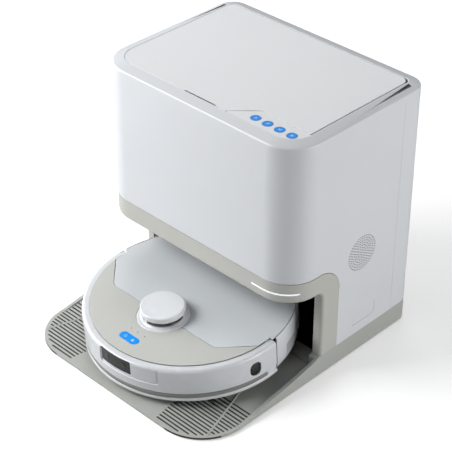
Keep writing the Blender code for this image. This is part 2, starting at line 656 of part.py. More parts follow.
def tanks():
    """Clean and dirty water tanks and the dust bag stand side by side under the lid."""
    low, high = TRIM_LOW + 0.020, HEIGHT - RIM_DEPTH - 0.006
    front, back = PANEL_BACK + 0.012, REAR_SEAM - 0.012
    outer = HALF - OPENING_INSET - LEDGE - 0.004
    inner = 0.064
    for name, sign, finish in (("clean_water_tank", -1, "clear_tank"), ("dirty_water_tank", 1, "clear_tank")):
        x0, x1 = sorted((sign * inner, sign * outer))
        tank = plate(name, [rectangle(x0, front, x1, back, 0.012)], low, high, STATION, finish)
        hollow = plate(name + "_inside", [rectangle(x0 + 0.0025, front + 0.0025, x1 - 0.0025, back - 0.0025, 0.0095)],
                       low + 0.0025, high + 0.01, STATION)
        cut(tank, hollow)
        cap = plate(name.replace("tank", "cap"), [rectangle(x0, front, x1, back, 0.012)], high + GAP,
                    high + 0.0035, STATION, "white_abs")
        cut(cap, plate(name + "_grip", [rectangle(x0 + 0.030, back - 0.060, x1 - 0.030, back - 0.030, 0.006)],
                       high - 0.01, high + 0.01, STATION))
    bag = plate("dust_bag", [rectangle(-inner + 0.008, front + 0.010, inner - 0.008, back - 0.010, 0.020)],
                low + 0.020, high - 0.020, STATION, "filter_paper")
    bevel(bag, 0.010, 2)
    wall = BAG_WALL
    hollow = plate("dust_bag_inside", [rectangle(-inner + 0.008 + wall, front + 0.010 + wall, inner - 0.008 - wall,
                                                 back - 0.010 - wall, 0.016)],
                   low + 0.020 + wall, high - 0.020 - wall, STATION)
    cut(bag, hollow)
    cut(bag, cylinder("dust_bag_mouth", BAG_MOUTH, low, low + 0.04, STATION, segments=24,
                      origin=(0, (front + back) / 2, 0)))


def machinery():
    """The suction motor stands in the plinth behind the niche."""
    middle = (LINER_BACK + DEPTH - WALL) / 2
    motor = turned("suction_motor", [(0, 0.150), (0.020, 0.150), (0.036, 0.135), (0.036, 0.070),
                                     (0.030, 0.055), (0.030, 0.010), (0, 0.010)],
                   STATION, "black_abs", 28, origin=(-0.110, middle, 0))
    smooth(motor)


# ---------------------------------------------------------------- robot outlines
def polar(radius, angle):
    return radius * math.cos(angle), radius * math.sin(angle)


def cover_outline(gap=0.0):
    """Top cover: straight front edge, swept wings, round rear edge."""
    tip = polar(DECK_RADIUS, COVER_TIP)
    wing = [(-tip[0], tip[1], 0), (-COVER_KNEE, COVER_FRONT + gap, COVER_BEND),
            (COVER_KNEE, COVER_FRONT + gap, COVER_BEND), (tip[0], tip[1] + gap, 0)]
    front = filleted(wing, 6)
    inner = DECK_RADIUS - gap
    shoulder = math.asin((BUMPER_END - 0.0005) / COVER_RADIUS)
    right = arc(0, 0, inner, COVER_TIP + 0.01, shoulder, 3)
    rear = arc(0, 0, COVER_RADIUS, shoulder, math.pi - shoulder, ROUND_STEPS // 2)
    left = arc(0, 0, inner, math.pi - shoulder, math.pi - COVER_TIP - 0.01, 3)
    return front[1:-1] + [(tip[0] - gap, tip[1] + gap)] + right + rear + left + [(-tip[0] + gap, tip[1] + gap)]


def deck_outline():
    """Front deck panel: the rest of the top, inside the bumper's rim."""
    tip = polar(DECK_RADIUS, COVER_TIP)
    wing = [(tip[0], tip[1], 0), (COVER_KNEE, COVER_FRONT, COVER_BEND), (-COVER_KNEE, COVER_FRONT, COVER_BEND),
            (-tip[0], tip[1], 0)]
    front = arc(0, 0, DECK_RADIUS, math.pi - COVER_TIP, 2 * math.pi + COVER_TIP, ROUND_STEPS // 2)
    return front[1:-1] + filleted(wing, 6)


def pill(length, width, cx=0.0, cy=0.0):
    return rectangle(cx - length / 2, cy - width / 2, cx + length / 2, cy + width / 2, width / 2 - 0.00001, 8)


def robot_chassis():
    low, high = CHASSIS_LOW, CHASSIS_LOW + CHASSIS_THICK
    rim = DECK_Z - COVER_THICK - 0.0030
    pan = turned("robot_chassis", [(0, high), (INNER_RADIUS - 0.003, high), (INNER_RADIUS - 0.003, rim),
                                   (INNER_RADIUS, rim), (INNER_RADIUS, high), (CHASSIS_RADIUS, high),
                                   (CHASSIS_RADIUS, low), (0, low)], ROBOT, "black_abs", 48)
    wells = []
    for x in (-WHEEL_X, WHEEL_X):
        half = WHEEL_WIDTH / 2 + 0.003
        inner = half + ARM_WIDTH + 0.002
        x0, x1 = (x - half, x + inner) if x < 0 else (x - inner, x + half)
        wells.append(((x0, WHEEL_Y - WHEEL_RADIUS - 0.004, -0.01), (x1, ARM_PIVOT + 0.010, rim - 0.003)))
    wells.append(((-ROLLER_HALF - 0.0025, ROLLER_Y - ROLLER_RADIUS - 0.003, -0.01),
                  (ROLLER_HALF + 0.0025, ROLLER_Y + ROLLER_RADIUS + 0.003, 0.02)))
    cut(pan, place_mesh("chassis_wells", box_mesh("chassis_wells", wells), ROBOT))
    for name, x, y, radius in (("caster_well", 0, CASTER_Y, CASTER_RADIUS + 0.0035),
                               ("brush_shaft_hole", SIDE_BRUSH_X, SIDE_BRUSH_Y, 0.0045),
                               ("mop_hole_left", -MOP_X, MOP_Y, 0.0065), ("mop_hole_right", MOP_X, MOP_Y, 0.0065)):
        cut(pan, cylinder(name, radius, -0.01, 0.02, ROBOT, segments=24, origin=(x, y, 0)))
    smooth(pan)


def side_body():
    """Rear side wall of the robot, from one bumper end round to the other."""
    inner, outer, top = BODY_RADIUS - BODY_WALL, BODY_RADIUS, DECK_Z
    wall = turned("side_body", [(inner, top - 0.0010), (inner + 0.0008, top), (outer - 0.0010, top - 0.0006),
                                (outer, top - 0.0025), (outer, 0.016), (outer - 0.0020, 0.0005),
                                (inner - 0.0005, 0.0005), (inner - 0.0005, 0.004), (inner, 0.016)],
                  ROBOT, "white_abs", ROUND_STEPS, closed=True)
    ahead = BUMPER_END + BUMPER_TRAVEL + 0.0015
    cut(wall, box("side_body_cut", (-0.2, -0.2, -0.05), (0.2, ahead, 0.1), ROBOT))
    for side, angle in (("right", VENT_ANGLE), ("left", math.pi - VENT_ANGLE)):
        slots = []
        for level in range(VENT_SLOTS):
            low = VENT_LOW + VENT_PITCH * level
            slots.append(((outer - 0.012, -VENT_LENGTH / 2, low), (outer + 0.006, VENT_LENGTH / 2, low + 0.0028)))
        name = "body_vent_" + side
        cut(wall, place_mesh(name, box_mesh(name, slots), ROBOT, turn=(0, 0, angle)))
    smooth(wall)


def bumper():
    top = DECK_Z - COVER_THICK - GAP
    skin = ROBOT_RADIUS - 0.0005
    inner = skin - BUMPER_WALL
    profile = [(DECK_RADIUS - 0.0060, top - 0.0016), (DECK_RADIUS - 0.0060, top), (skin - 0.0070, top),
               (skin - 0.0030, top - 0.0008), (skin - 0.0008, top - 0.0028), (skin, top - 0.0058),
               (skin, STRIP_TOP + 0.0008), (skin - 0.0018, STRIP_TOP), (skin - 0.0018, STRIP_LOW),
               (skin, STRIP_LOW - 0.0006), (ROBOT_RADIUS, STRIP_LOW - 0.0016), (ROBOT_RADIUS, 0.0008),
               (ROBOT_RADIUS - 0.0008, 0.0), (inner, 0.0), (inner, top - 0.0045), (inner - 0.0030, top - 0.0016)]
    shell = turned("bumper", profile, ROBOT, "white_abs", ROUND_STEPS, closed=True)
    cut(shell, box("bumper_back_cut", (-0.2, BUMPER_END, -0.05), (0.2, 0.2, 0.1), ROBOT))
    shoulders = [((sign * 0.10 if sign > 0 else -(skin - 0.0040), BUMPER_END - 0.0085, top - 0.0030),
                  ((skin - 0.0040) if sign > 0 else -0.10, BUMPER_END + 0.01, top + 0.01)) for sign in (-1, 1)]
    cut(shell, place_mesh("bumper_shoulders", box_mesh("bumper_shoulders", shoulders), ROBOT))
    cut(shell, box("window_hole", (WINDOW_LEFT - GAP, -0.2, WINDOW_LOW - GAP),
                   (WINDOW_RIGHT + GAP, -0.15, WINDOW_TOP + GAP), ROBOT))
    cut(shell, sensor_prism("sensor_hole", GAP, 0.150, 0.190))
    smooth(shell)


def bumper_fittings():
    skin = ROBOT_RADIUS - 0.0005
    strip = turned("bumper_strip", [(skin - 0.0018 + GAP, STRIP_TOP - 0.0007), (skin - 0.0004, STRIP_TOP - 0.0007),
                                    (skin + 0.0003, STRIP_TOP - 0.0020), (skin + 0.0003, STRIP_LOW + 0.0020),
                                    (skin - 0.0004, STRIP_LOW + 0.0006), (skin - 0.0018 + GAP, STRIP_LOW + 0.0006)],
                   ROBOT, "soft_strip", ROUND_STEPS, closed=True)
    cut(strip, box("strip_back_cut", (-0.2, STRIP_END, -0.05), (0.2, 0.2, 0.1), ROBOT))
    smooth(strip)
    window = turned("front_window", [(skin - BUMPER_WALL, WINDOW_TOP), (skin - 0.0010, WINDOW_TOP),
                                     (skin - 0.0010, WINDOW_LOW), (skin - BUMPER_WALL, WINDOW_LOW)],
                    ROBOT, "smoked_window", ROUND_STEPS, closed=True)
    cut(window, box("window_zone", (WINDOW_LEFT, -0.2, 0), (WINDOW_RIGHT, -0.15, 0.1), ROBOT), "INTERSECT")
    smooth(window)
    sensor_prism("side_sensor", 0.0, skin - BUMPER_WALL - 0.002, skin - 0.0012, "smoked_window")


def sensor_prism(name, grow, near, far, finish=None):
    """The upright oval sensor in the bumper's right side, drawn along the radius it looks out on."""
    mesh = outline_mesh(name, [pill(SENSOR_HEIGHT + 2 * grow, SENSOR_WIDTH + 2 * grow)], near, far)
    mesh.transform(Matrix.Rotation(math.pi / 2, 4, "Y"))
    return place_mesh(name, mesh, ROBOT, finish, origin=(0, 0, SENSOR_Z), turn=(0, 0, SENSOR_ANGLE))


def deck_panel():
    low = DECK_Z - COVER_THICK
    panel = plate("deck_panel", [deck_outline()], low, DECK_Z, ROBOT, "warm_deck")
    cut(panel, cylinder("deck_lidar_hole", LIDAR_SKIRT + SEAM, 0, 0.1, ROBOT, segments=36, origin=(0, LIDAR_Y, 0)))
    cut(panel, plate("pill_hole", [pill(PILL_LENGTH + 2 * GAP, PILL_WIDTH + 2 * GAP, 0, PILL_Y)], 0, 0.1, ROBOT))
    pressed = plate("start_button", [pill(PILL_LENGTH, PILL_WIDTH)], -0.0024, 0.0, ROBOT, "blue_button",
                    origin=(0, PILL_Y, DECK_Z + 0.0003))
    smooth(pressed)


def top_cover():
    low = DECK_Z - COVER_THICK
    cover = plate("top_cover", [cover_outline(SEAM)], low, DECK_Z, ROBOT, "cool_cover")
    cut(cover, cylinder("cover_lidar_hole", LIDAR_SKIRT + SEAM, 0, 0.1, ROBOT, segments=36,
                        origin=(0, LIDAR_Y, 0)))


def lidar():
    low = DECK_Z - COVER_THICK - 0.0040
    skirt = turned("lidar_skirt", [(LIDAR_ROTOR + 0.0015, LIDAR_WINDOW_LOW - 0.0012),
                                   (LIDAR_CAP - 0.0015, LIDAR_WINDOW_LOW - 0.0012),
                                   (LIDAR_CAP + 0.0015, DECK_Z + 0.0005), (LIDAR_SKIRT - 0.0010, DECK_Z + 0.0004),
                                   (LIDAR_SKIRT, DECK_Z - 0.0006), (LIDAR_SKIRT, low),
                                   (LIDAR_ROTOR + 0.0015, low)],
                   ROBOT, "white_abs", 36, closed=True, origin=(0, LIDAR_Y, 0))
    smooth(skirt)
    rotor = turned("lidar_rotor", [(0, LIDAR_WINDOW_TOP - 0.0022), (LIDAR_ROTOR, LIDAR_WINDOW_TOP - 0.0022),
                                   (LIDAR_ROTOR, LIDAR_WINDOW_LOW - 0.0080), (0.012, LIDAR_WINDOW_LOW - 0.0080),
                                   (0.012, 0.046), (0, 0.046)],
                   ROBOT, "smoked_window", 28, origin=(0, LIDAR_Y, 0))
    cut(rotor, box("rotor_slot", (-0.006, -0.04, LIDAR_WINDOW_LOW - 0.0030), (0.006, -0.018, 0.0698), ROBOT,
                   origin=(0, LIDAR_Y, 0)))
    smooth(rotor)
    top = LIDAR_TOP
    cap = turned("lidar_cap", [(0, top), (LIDAR_CAP - 0.0060, top - 0.0005), (LIDAR_CAP - 0.0022, top - 0.0018),
                               (LIDAR_CAP - 0.0003, top - 0.0042), (LIDAR_CAP, top - 0.0065),
                               (LIDAR_CAP - 0.0012, LIDAR_WINDOW_TOP), (0, LIDAR_WINDOW_TOP)],
                 ROBOT, "white_abs", 36, origin=(0, LIDAR_Y, 0))
    post_low = LIDAR_WINDOW_LOW - 0.0010 + CAP_TRAVEL
    for i, angle in enumerate((-95, 25, 145)):
        post = box_mesh(f"cap_post_{i}", [((LIDAR_ROTOR + 0.0012, -0.0025, post_low),
                                           (LIDAR_CAP - 0.0030, 0.0025, LIDAR_WINDOW_TOP + 0.001))])
        join_shapes(cap, f"cap_post_{i}", post, ROBOT, origin=(0, LIDAR_Y, 0), turn=(0, 0, math.radians(angle)))
    smooth(cap)


def axle_z():
    return WHEEL_RADIUS - CLEARANCE


def drive_wheels():
    for side, sign in (("left", -1), ("right", 1)):
        x = sign * WHEEL_X
        half = WHEEL_WIDTH / 2
        tread = [(WHEEL_RADIUS - TYRE_THICK, half), (WHEEL_RADIUS - 0.0015, half), (WHEEL_RADIUS, half - 0.0020),
                 (WHEEL_RADIUS, -half + 0.0020), (WHEEL_RADIUS - 0.0015, -half), (WHEEL_RADIUS - TYRE_THICK, -half)]
        tyre = turned(side + "_tyre", tread, ROBOT, "rubber", 24, closed=True, origin=(x, WHEEL_Y, axle_z()),
                      turn=(0, math.pi / 2, 0))
        smooth(tyre)
        cylinder(side + "_wheel_hub", WHEEL_RADIUS - TYRE_THICK - GAP, -half + 0.0015, half - 0.0015, ROBOT,
                 "grey_abs", "X", 28, origin=(x, WHEEL_Y, axle_z()))
        inward = x - sign * (half + 0.0015 + ARM_WIDTH / 2)
        arm = plate(side + "_wheel_arm", [arm_outline()], -ARM_WIDTH / 2, ARM_WIDTH / 2, ROBOT, "black_abs",
                    origin=(inward, ARM_PIVOT, axle_z() + 0.006), turn=(0, math.pi / 2, 0))
        smooth(arm)


def arm_outline():
    """Suspension arm seen from the side: local x is down, local y is backwards."""
    length = ARM_PIVOT - WHEEL_Y
    return arc(0.006, -length, 0.016, -math.pi, 0, 10) + arc(0, 0, 0.008, 0, math.pi, 8)


def caster():
    top = CHASSIS_LOW + 0.018
    fork = cylinder("caster_fork", CASTER_RADIUS + 0.0025, -0.0012, top, ROBOT, "grey_abs", segments=28,
                    origin=(0, CASTER_Y, 0))
    slot = box("caster_slot", (-CASTER_WIDTH / 2 - 0.0008, -CASTER_RADIUS - 0.01, -0.01),
               (CASTER_WIDTH / 2 + 0.0008, CASTER_RADIUS + 0.01, caster_z() + CASTER_RADIUS + 0.001), ROBOT,
               origin=(0, CASTER_Y, 0))
    cut(fork, slot)
    wheel = cylinder("caster_wheel", CASTER_RADIUS, -CASTER_WIDTH / 2, CASTER_WIDTH / 2, ROBOT, "rubber", "X", 28,
                     origin=(0, CASTER_Y, caster_z()))
    smooth(bevel(wheel, 0.0015))


def side_brush():
    brush = cylinder("side_brush", 0.0040, -0.0060, CHASSIS_LOW + 0.006, ROBOT, "grey_abs", segments=20,
                     origin=(SIDE_BRUSH_X, SIDE_BRUSH_Y, 0))
    hub = cylinder_mesh("brush_hub", 0.011, -0.0078, -0.0042, "Z", 24)
    join_shapes(brush, "brush_hub", hub, ROBOT, origin=brush.location)
    for i in range(3):
        arm = outline_mesh(f"brush_arm_{i}", [[(0.006, -0.0022), (SIDE_BRUSH_REACH, -0.0040),
                                               (SIDE_BRUSH_REACH, 0.0016), (0.006, 0.0022)]], -0.0074, -0.0058)
        join_shapes(brush, f"brush_arm_{i}", arm, ROBOT, origin=brush.location,
                    turn=(0, 0, math.radians(17 + 120 * i)))


def roller():
    z = ROLLER_RADIUS - ROLLER_DROP
    core = cylinder("roller_brush", 0.015, -ROLLER_HALF, ROLLER_HALF, ROBOT, "rubber", "X", 24,
                    origin=(0, ROLLER_Y, z))
    for i in range(6):
        fin = box_mesh(f"roller_fin_{i}", [((-ROLLER_HALF + 0.003, -0.0010, 0.012),
                                            (ROLLER_HALF - 0.003, 0.0010, ROLLER_RADIUS))])
        join_shapes(core, f"roller_fin_{i}", fin, ROBOT, origin=core.location, turn=(math.radians(60 * i), 0, 0))
    half_x, half_y = ROLLER_HALF + 0.010, ROLLER_RADIUS + 0.007
    outer = rectangle(-half_x, ROLLER_Y - half_y, half_x, ROLLER_Y + half_y, 0.006)
    inner = rectangle(-ROLLER_HALF - 0.002, ROLLER_Y - ROLLER_RADIUS - 0.001, ROLLER_HALF + 0.002,
                      ROLLER_Y + ROLLER_RADIUS + 0.001, 0.003)
    plate("brush_guard", [outer, inner], CHASSIS_LOW - 0.0028, CHASSIS_LOW - GAP, ROBOT, "grey_abs")


def mops():
    for side, x in (("left", -MOP_X), ("right", MOP_X)):
        holder = cylinder(f"mop_plate_{side}", 0.0060, -0.0060, CHASSIS_LOW + 0.010, ROBOT, "grey_abs",
                          segments=20, origin=(x, MOP_Y, 0))
        disc = cylinder_mesh("mop_disc_" + side, MOP_RADIUS - 0.003, -0.0062, -0.0040, "Z", 40)
        join_shapes(holder, "mop_disc_" + side, disc, ROBOT, origin=holder.location)
        cloth = cylinder(f"mop_cloth_{side}", MOP_RADIUS, -MOP_DROP, -0.0065, ROBOT, "mop_cloth", segments=40,
                         origin=(x, MOP_Y, 0))
        smooth(cloth)


def robot_inside():
    """Dust bin, fan and battery on the chassis floor, under the top cover."""
    low = CHASSIS_LOW + CHASSIS_THICK + 0.0010
    top = DECK_Z - COVER_THICK - 0.0040
    bin_low = 0.016
    body = plate("dust_bin", [rectangle(-0.078, -0.012, 0.078, 0.060, 0.008)], bin_low, top, ROBOT, "clear_tank")
    cut(body, plate("dust_bin_inside", [rectangle(-0.076, -0.010, 0.076, 0.058, 0.006)], bin_low + 0.002,
                    top + 0.01, ROBOT))
    fan = turned("suction_fan", [(0, 0.050), (0.020, 0.050), (0.027, 0.044), (0.027, low + 0.014),
                                 (0.021, low + 0.008), (0, low + 0.008)], ROBOT, "black_abs", 28,
                 origin=(-0.060, 0.098, 0))
    smooth(fan)
    battery = box("battery_pack", (-0.002, 0.070, low + 0.010), (0.098, 0.108, 0.052), ROBOT, "blue_button")
    bevel(battery, 0.003)


clear_scene()
PARTS = collection("robot_vacuum_and_station")
CUTTERS = collection("cutters")
STATION = empty("station_frame", (0, FRONT_Y, 0))
ROBOT = empty("robot_frame", (0, FRONT_Y + ROBOT_Y, LIP_Z), (TILT, 0, 0))

for make in (base_plate, feet, front_trim, light_strip, cabinet_shell, side_fittings, rear_cover, power_inlet,
             niche_liner, wash_tray, charge_contacts, top_rim, lid, control_panel, panel_buttons,
             tanks, machinery, robot_chassis, side_body, bumper, bumper_fittings, deck_panel, top_cover, lidar,
             drive_wheels, caster, side_brush, roller, mops, robot_inside):
    make()
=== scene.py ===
"""Looks of a robot vacuum and mop parked in its washing and emptying station.

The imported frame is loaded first.  Every finer piece is drawn in the station's or the robot's own
frame, in metres, and then rides on the body that the frame gives it.
"""
import json
import math

import bmesh
import bpy
from bpy.props import FloatProperty, FloatVectorProperty, IntProperty, PointerProperty, StringProperty
from mathutils import Matrix, Vector, noise


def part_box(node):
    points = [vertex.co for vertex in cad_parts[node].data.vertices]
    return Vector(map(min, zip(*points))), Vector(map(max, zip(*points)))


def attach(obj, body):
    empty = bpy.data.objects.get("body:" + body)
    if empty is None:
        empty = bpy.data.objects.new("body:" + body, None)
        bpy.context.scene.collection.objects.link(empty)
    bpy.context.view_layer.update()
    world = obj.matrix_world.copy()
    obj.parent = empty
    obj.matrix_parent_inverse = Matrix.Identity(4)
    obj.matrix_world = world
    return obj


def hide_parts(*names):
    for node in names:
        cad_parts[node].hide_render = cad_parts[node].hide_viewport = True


bl_info = {
    "name": "Robot vacuum and station",
    "version": (1, 0, 0),
    "blender": (4, 5, 0),
    "location": "3D View > Sidebar > Vacuum Station",
    "description": "Builds the finished surfaces of a robot vacuum and its station on a packed frame",
    "category": "Object",
}

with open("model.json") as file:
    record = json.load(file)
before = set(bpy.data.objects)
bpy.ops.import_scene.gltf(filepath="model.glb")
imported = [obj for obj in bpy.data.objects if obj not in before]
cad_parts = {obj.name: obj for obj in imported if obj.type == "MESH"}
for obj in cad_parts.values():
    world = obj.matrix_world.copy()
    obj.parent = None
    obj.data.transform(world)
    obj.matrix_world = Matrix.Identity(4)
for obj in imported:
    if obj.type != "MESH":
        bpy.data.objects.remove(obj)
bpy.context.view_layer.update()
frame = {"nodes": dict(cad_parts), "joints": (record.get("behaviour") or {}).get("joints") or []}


# ---------------------------------------------------------------- what the frame gives
def joint(name):
    return next(j for j in frame["joints"] if j["name"] == name)


SHELL_LOW, SHELL_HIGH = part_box("cabinet_shell")
FRONT = SHELL_LOW.y                                   # cabinet front plane
HALF = SHELL_HIGH.x
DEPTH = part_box("rear_cover")[1].y - FRONT
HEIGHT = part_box("lid")[1].z
RIM_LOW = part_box("top_rim")[0].z
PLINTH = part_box("base_plate")[1].z
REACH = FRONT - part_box("base_plate")[0].y             # ramp ahead of the cabinet
REAR_SEAM = SHELL_HIGH.y - FRONT
TRIM_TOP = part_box("front_trim")[1].z
PILLAR_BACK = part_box("front_trim")[1].y - FRONT
PANEL_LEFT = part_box("control_panel")[0].x
PANEL_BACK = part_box("control_panel")[1].y - FRONT
STATION = Matrix.Translation((0, FRONT, 0))

MOP_X, MOP_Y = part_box("mop_cloth_right")[0].x / 2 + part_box("mop_cloth_right")[1].x / 2, 0.092
TILT = math.atan2(-joint("left_mop_spin")["axis"][1], joint("left_mop_spin")["axis"][2])
TURN = Matrix.Rotation(TILT, 4, "X")
ROBOT = Matrix.Translation(Vector(joint("left_mop_spin")["pos_m"]) - TURN @ Vector((-MOP_X, MOP_Y, 0))) @ TURN

# ---------------------------------------------------------------- station sizes shared by several pieces
FRONT_CORNER, REAR_CORNER, RAMP_CORNER = 0.057, 0.030, 0.081
WALL = 0.003
SEAM = 0.0004
GAP = 0.0003
PLATE_THICK, FLAT_LENGTH = 0.005, 0.084
NICHE_FLOOR, FLOOR_END = 0.0205, 0.0995
TRIM_LOW, TRIM_DEPTH = 0.162, 0.0165
PILLAR_FRONT, LEFT_PILLAR_FRONT, PILLAR_RADIUS, ARCH_RADIUS = 0.0746, 0.0912, 0.047, 0.014
RIM_SLOPE, RIM_DROP = 0.0185, 0.0046
OPENING, LEDGE, LID_THICK = 0.0195, 0.005, 0.005
NOTCH_HALF, NOTCH_DEPTH, SWING_ROOM = 0.030, 0.0014, 0.0150
VENT_Y, VENT_Z, VENT_RADIUS = 0.1624, 0.1919, 0.032
LIGHT_Z, LIGHT_HEIGHT, LIGHT_DEPTH = 0.1787, 0.0026, 0.003
LIGHT_START, LIGHT_END = 0.126, 0.030

# ---------------------------------------------------------------- robot sizes shared by several pieces
DECK_Z, COVER_THICK = 0.0625, 0.0016
SKIN = 0.1745
LIP = 0.175
DECK_RADIUS, COVER_RADIUS = 0.162, 0.1675
BODY_RADIUS, BODY_WALL, BUMPER_WALL = 0.171, 0.0027, 0.003
BUMPER_END, BUMPER_TRAVEL = 0.011, 0.004
COVER_FRONT, COVER_KNEE, COVER_BEND, COVER_TIP = -0.0627, 0.1145, 0.018, math.radians(-5.7)
LIDAR_Y, LIDAR_SKIRT, LIDAR_CAP, LIDAR_ROTOR, LIDAR_TOP = -0.0605, 0.0425, 0.036, 0.029, 0.083
LIDAR_WINDOW_LOW, LIDAR_WINDOW_TOP, CAP_TRAVEL = 0.0665, 0.0735, 0.0015
PILL_Y, PILL_LENGTH, PILL_WIDTH = -0.133, 0.0376, 0.015
WINDOW_LEFT, WINDOW_RIGHT, WINDOW_LOW, WINDOW_TOP = -0.0226, 0.0382, 0.0335, 0.0583
SENSOR_ANGLE, SENSOR_Z, SENSOR_WIDTH, SENSOR_HEIGHT = math.radians(-10.7), 0.0325, 0.0195, 0.0255
STRIP_LOW, STRIP_TOP = 0.0058, 0.0142


# ---------------------------------------------------------------- settings a user would change
class StationSizes(bpy.types.PropertyGroup):
    groove_pitch: FloatProperty(name="Groove pitch", description="From one anti-slip groove of the ramp to the next",
                                default=0.0067, unit="LENGTH")
    groove_width: FloatProperty(name="Groove width", description="Width of one anti-slip groove",
                                default=0.0026, unit="LENGTH")
    groove_depth: FloatProperty(name="Groove depth", description="How deep the grooves are pressed",
                                default=0.0016, unit="LENGTH")
    groove_count: IntProperty(name="Grooves", description="Grooves on each side of the ramp", default=16, min=1)
    trim_round: FloatProperty(name="Trim rounding", description="Radius where the trim turns into the niche",
                              default=0.0052, unit="LENGTH")
    shell_round: FloatProperty(name="Shell rounding", description="Radius of the shell's lower edge",
                               default=0.0020, unit="LENGTH")
    edge_round: FloatProperty(name="Edge rounding", description="Radius left on ordinary moulded edges",
                              default=0.0007, unit="LENGTH")
    lid_gap: FloatProperty(name="Lid gap", description="Shadow gap along the lid's right edge",
                           default=0.0020, unit="LENGTH")
    vent_rings: IntProperty(name="Vent rings", description="Rings of holes in the side vent", default=7, min=1)
    vent_hole: FloatProperty(name="Vent hole", description="Radius of one hole in the side vent",
                             default=0.00115, unit="LENGTH")


class RobotSizes(bpy.types.PropertyGroup):
    facets: IntProperty(name="Facets", description="Facets round the robot's outer skins", default=160, min=24)
    shoulder: FloatProperty(name="Bumper shoulder", description="Radius over the bumper's upper edge",
                            default=0.0062, unit="LENGTH")
    cover_edge: FloatProperty(name="Cover edge", description="Radius on the edge of deck and top cover",
                              default=0.0004, unit="LENGTH")
    tread_blocks: IntProperty(name="Tread blocks", description="Blocks round each drive tyre", default=22, min=6)
    bristles: IntProperty(name="Bristles", description="Bristles on each arm of the side brush", default=16, min=3)
    pile: FloatProperty(name="Mop pile", description="How far the mop pads' tufts stand out",
                        default=0.0007, unit="LENGTH")


def colour(name, description, value):
    return StringProperty(name=name, description=description + ", as an sRGB hex value", default=value)


class FinishColours(bpy.types.PropertyGroup):
    shell: colour("Shell", "Cabinet shell", "#E3E6EA")
    lid: colour("Lid", "Lid and control panel", "#E1E3E6")
    trim: colour("Trim", "Band and pillars round the niche", "#C8C8C2")
    ramp: colour("Ramp", "Ramp and plinth", "#B8BAB5")
    deck: colour("Deck", "Robot's front deck", "#CACBC6")
    cover: colour("Cover", "Robot's top cover", "#D6DBDF")
    robot: colour("Robot body", "Bumper, side wall and turret", "#E4E7EB")
    strip: colour("Bumper strip", "Soft strip round the bumper", "#8C8C88")
    keys: colour("Keys", "Lit keys", "#108DE8")
    cloth: colour("Mop cloth", "Mop pads", "#7D8894")


class StudioSettings(bpy.types.PropertyGroup):
    key: FloatProperty(name="Key light", description="Power of the high light at front left", default=64.0,
            subtype="POWER")
    low: FloatProperty(name="Low light", description="Power of the low light at front left", default=13.0,
            subtype="POWER")
    left: FloatProperty(name="Left light", description="Power of the low light at the left", default=33.0,
            subtype="POWER")
    back: FloatProperty(name="Back light", description="Power of the high light at back left", default=19.0,
            subtype="POWER")
    side: FloatProperty(name="Side light", description="Power of the light at right rear", default=18.0,
            subtype="POWER")
    right: FloatProperty(name="Right light", description="Power of the low light at the right", default=23.0,
            subtype="POWER")
    sky: FloatProperty(name="Room light", description="Strength of the pale room", default=0.05)
    floor_glow: FloatProperty(name="Floor glow", description="How much the paper sweep is lit from below", default=0.35)
    floor: FloatVectorProperty(name="Floor", description="Floor colour", default=(0.95, 0.95, 0.95), subtype="COLOR")
    camera_place: FloatVectorProperty(name="Camera", description="Where the camera stands",
                                      default=(1.3721, -1.3751, 1.5228), subtype="TRANSLATION", unit="LENGTH")
    camera_turn: FloatVectorProperty(name="Camera turn", description="How the camera is turned",
                                     default=(math.radians(90 - 34.388), 0.0, math.radians(44.585)), subtype="EULER")
    lens: FloatProperty(name="Lens", description="Focal length in millimetres", default=119.36)


# ---------------------------------------------------------------- drawing tools
def arc(cx, cy, radius, start, end, steps):
    angles = [start + (end - start) * i / steps for i in range(steps + 1)]
    return [(cx + radius * math.cos(a), cy + radius * math.sin(a)) for a in angles]


def circle(cx, cy, radius, steps=32):
    return arc(cx, cy, radius, 0, 2 * math.pi, steps)[:-1]


def filleted(corners, steps=10):
    """A closed outline from (x, y, radius) corners."""
    points = []
    for i, (x, y, radius) in enumerate(corners):
        here = Vector((x, y))
        if radius <= 0:
            points.append((x, y))
            continue
        back = (Vector(corners[i - 1][:2]) - here).normalized()
        ahead = (Vector(corners[(i + 1) % len(corners)][:2]) - here).normalized()
        half = back.angle(ahead) / 2
        centre = here + (back + ahead).normalized() * radius / math.sin(half)
        first = here + back * radius / math.tan(half) - centre
        last = here + ahead * radius / math.tan(half) - centre
        start = math.atan2(first.y, first.x)
        sweep = (math.atan2(last.y, last.x) - start + math.pi) % (2 * math.pi) - math.pi
        points += arc(centre.x, centre.y, radius, start, start + sweep, steps)
    return points


def rectangle(x0, y0, x1, y1, radius=0.0, steps=8):
    return filleted([(x0, y0, radius), (x1, y0, radius), (x1, y1, radius), (x0, y1, radius)], steps)


def pill(length, width, cx=0.0, cy=0.0):
    return rectangle(cx - length / 2, cy - width / 2, cx + length / 2, cy + width / 2, width / 2 - 0.00001, 14)


def outline_mesh(loops, low, high):
    """Flat outline, with the loops inside it as holes, extruded from z = low to z = high."""
    curve = bpy.data.curves.new("outline", "CURVE")
    curve.dimensions = "2D"
    curve.fill_mode = "BOTH"
    curve.extrude = (high - low) / 2
    for loop in loops:
        spline = curve.splines.new("POLY")
        spline.points.add(len(loop) - 1)
        for point, (x, y) in zip(spline.points, loop):
            point.co = (x, y, 0, 1)
        spline.use_cyclic_u = True
    drawing = bpy.data.objects.new("outline", curve)
    bpy.context.scene.collection.objects.link(drawing)
    bpy.context.view_layer.update()
    mesh = bpy.data.meshes.new_from_object(drawing.evaluated_get(bpy.context.evaluated_depsgraph_get()))
    bpy.data.objects.remove(drawing, do_unlink=True)
    bpy.data.curves.remove(curve)
    mesh.materials.clear()
    return tidied(mesh, shift=(0, 0, (low + high) / 2))


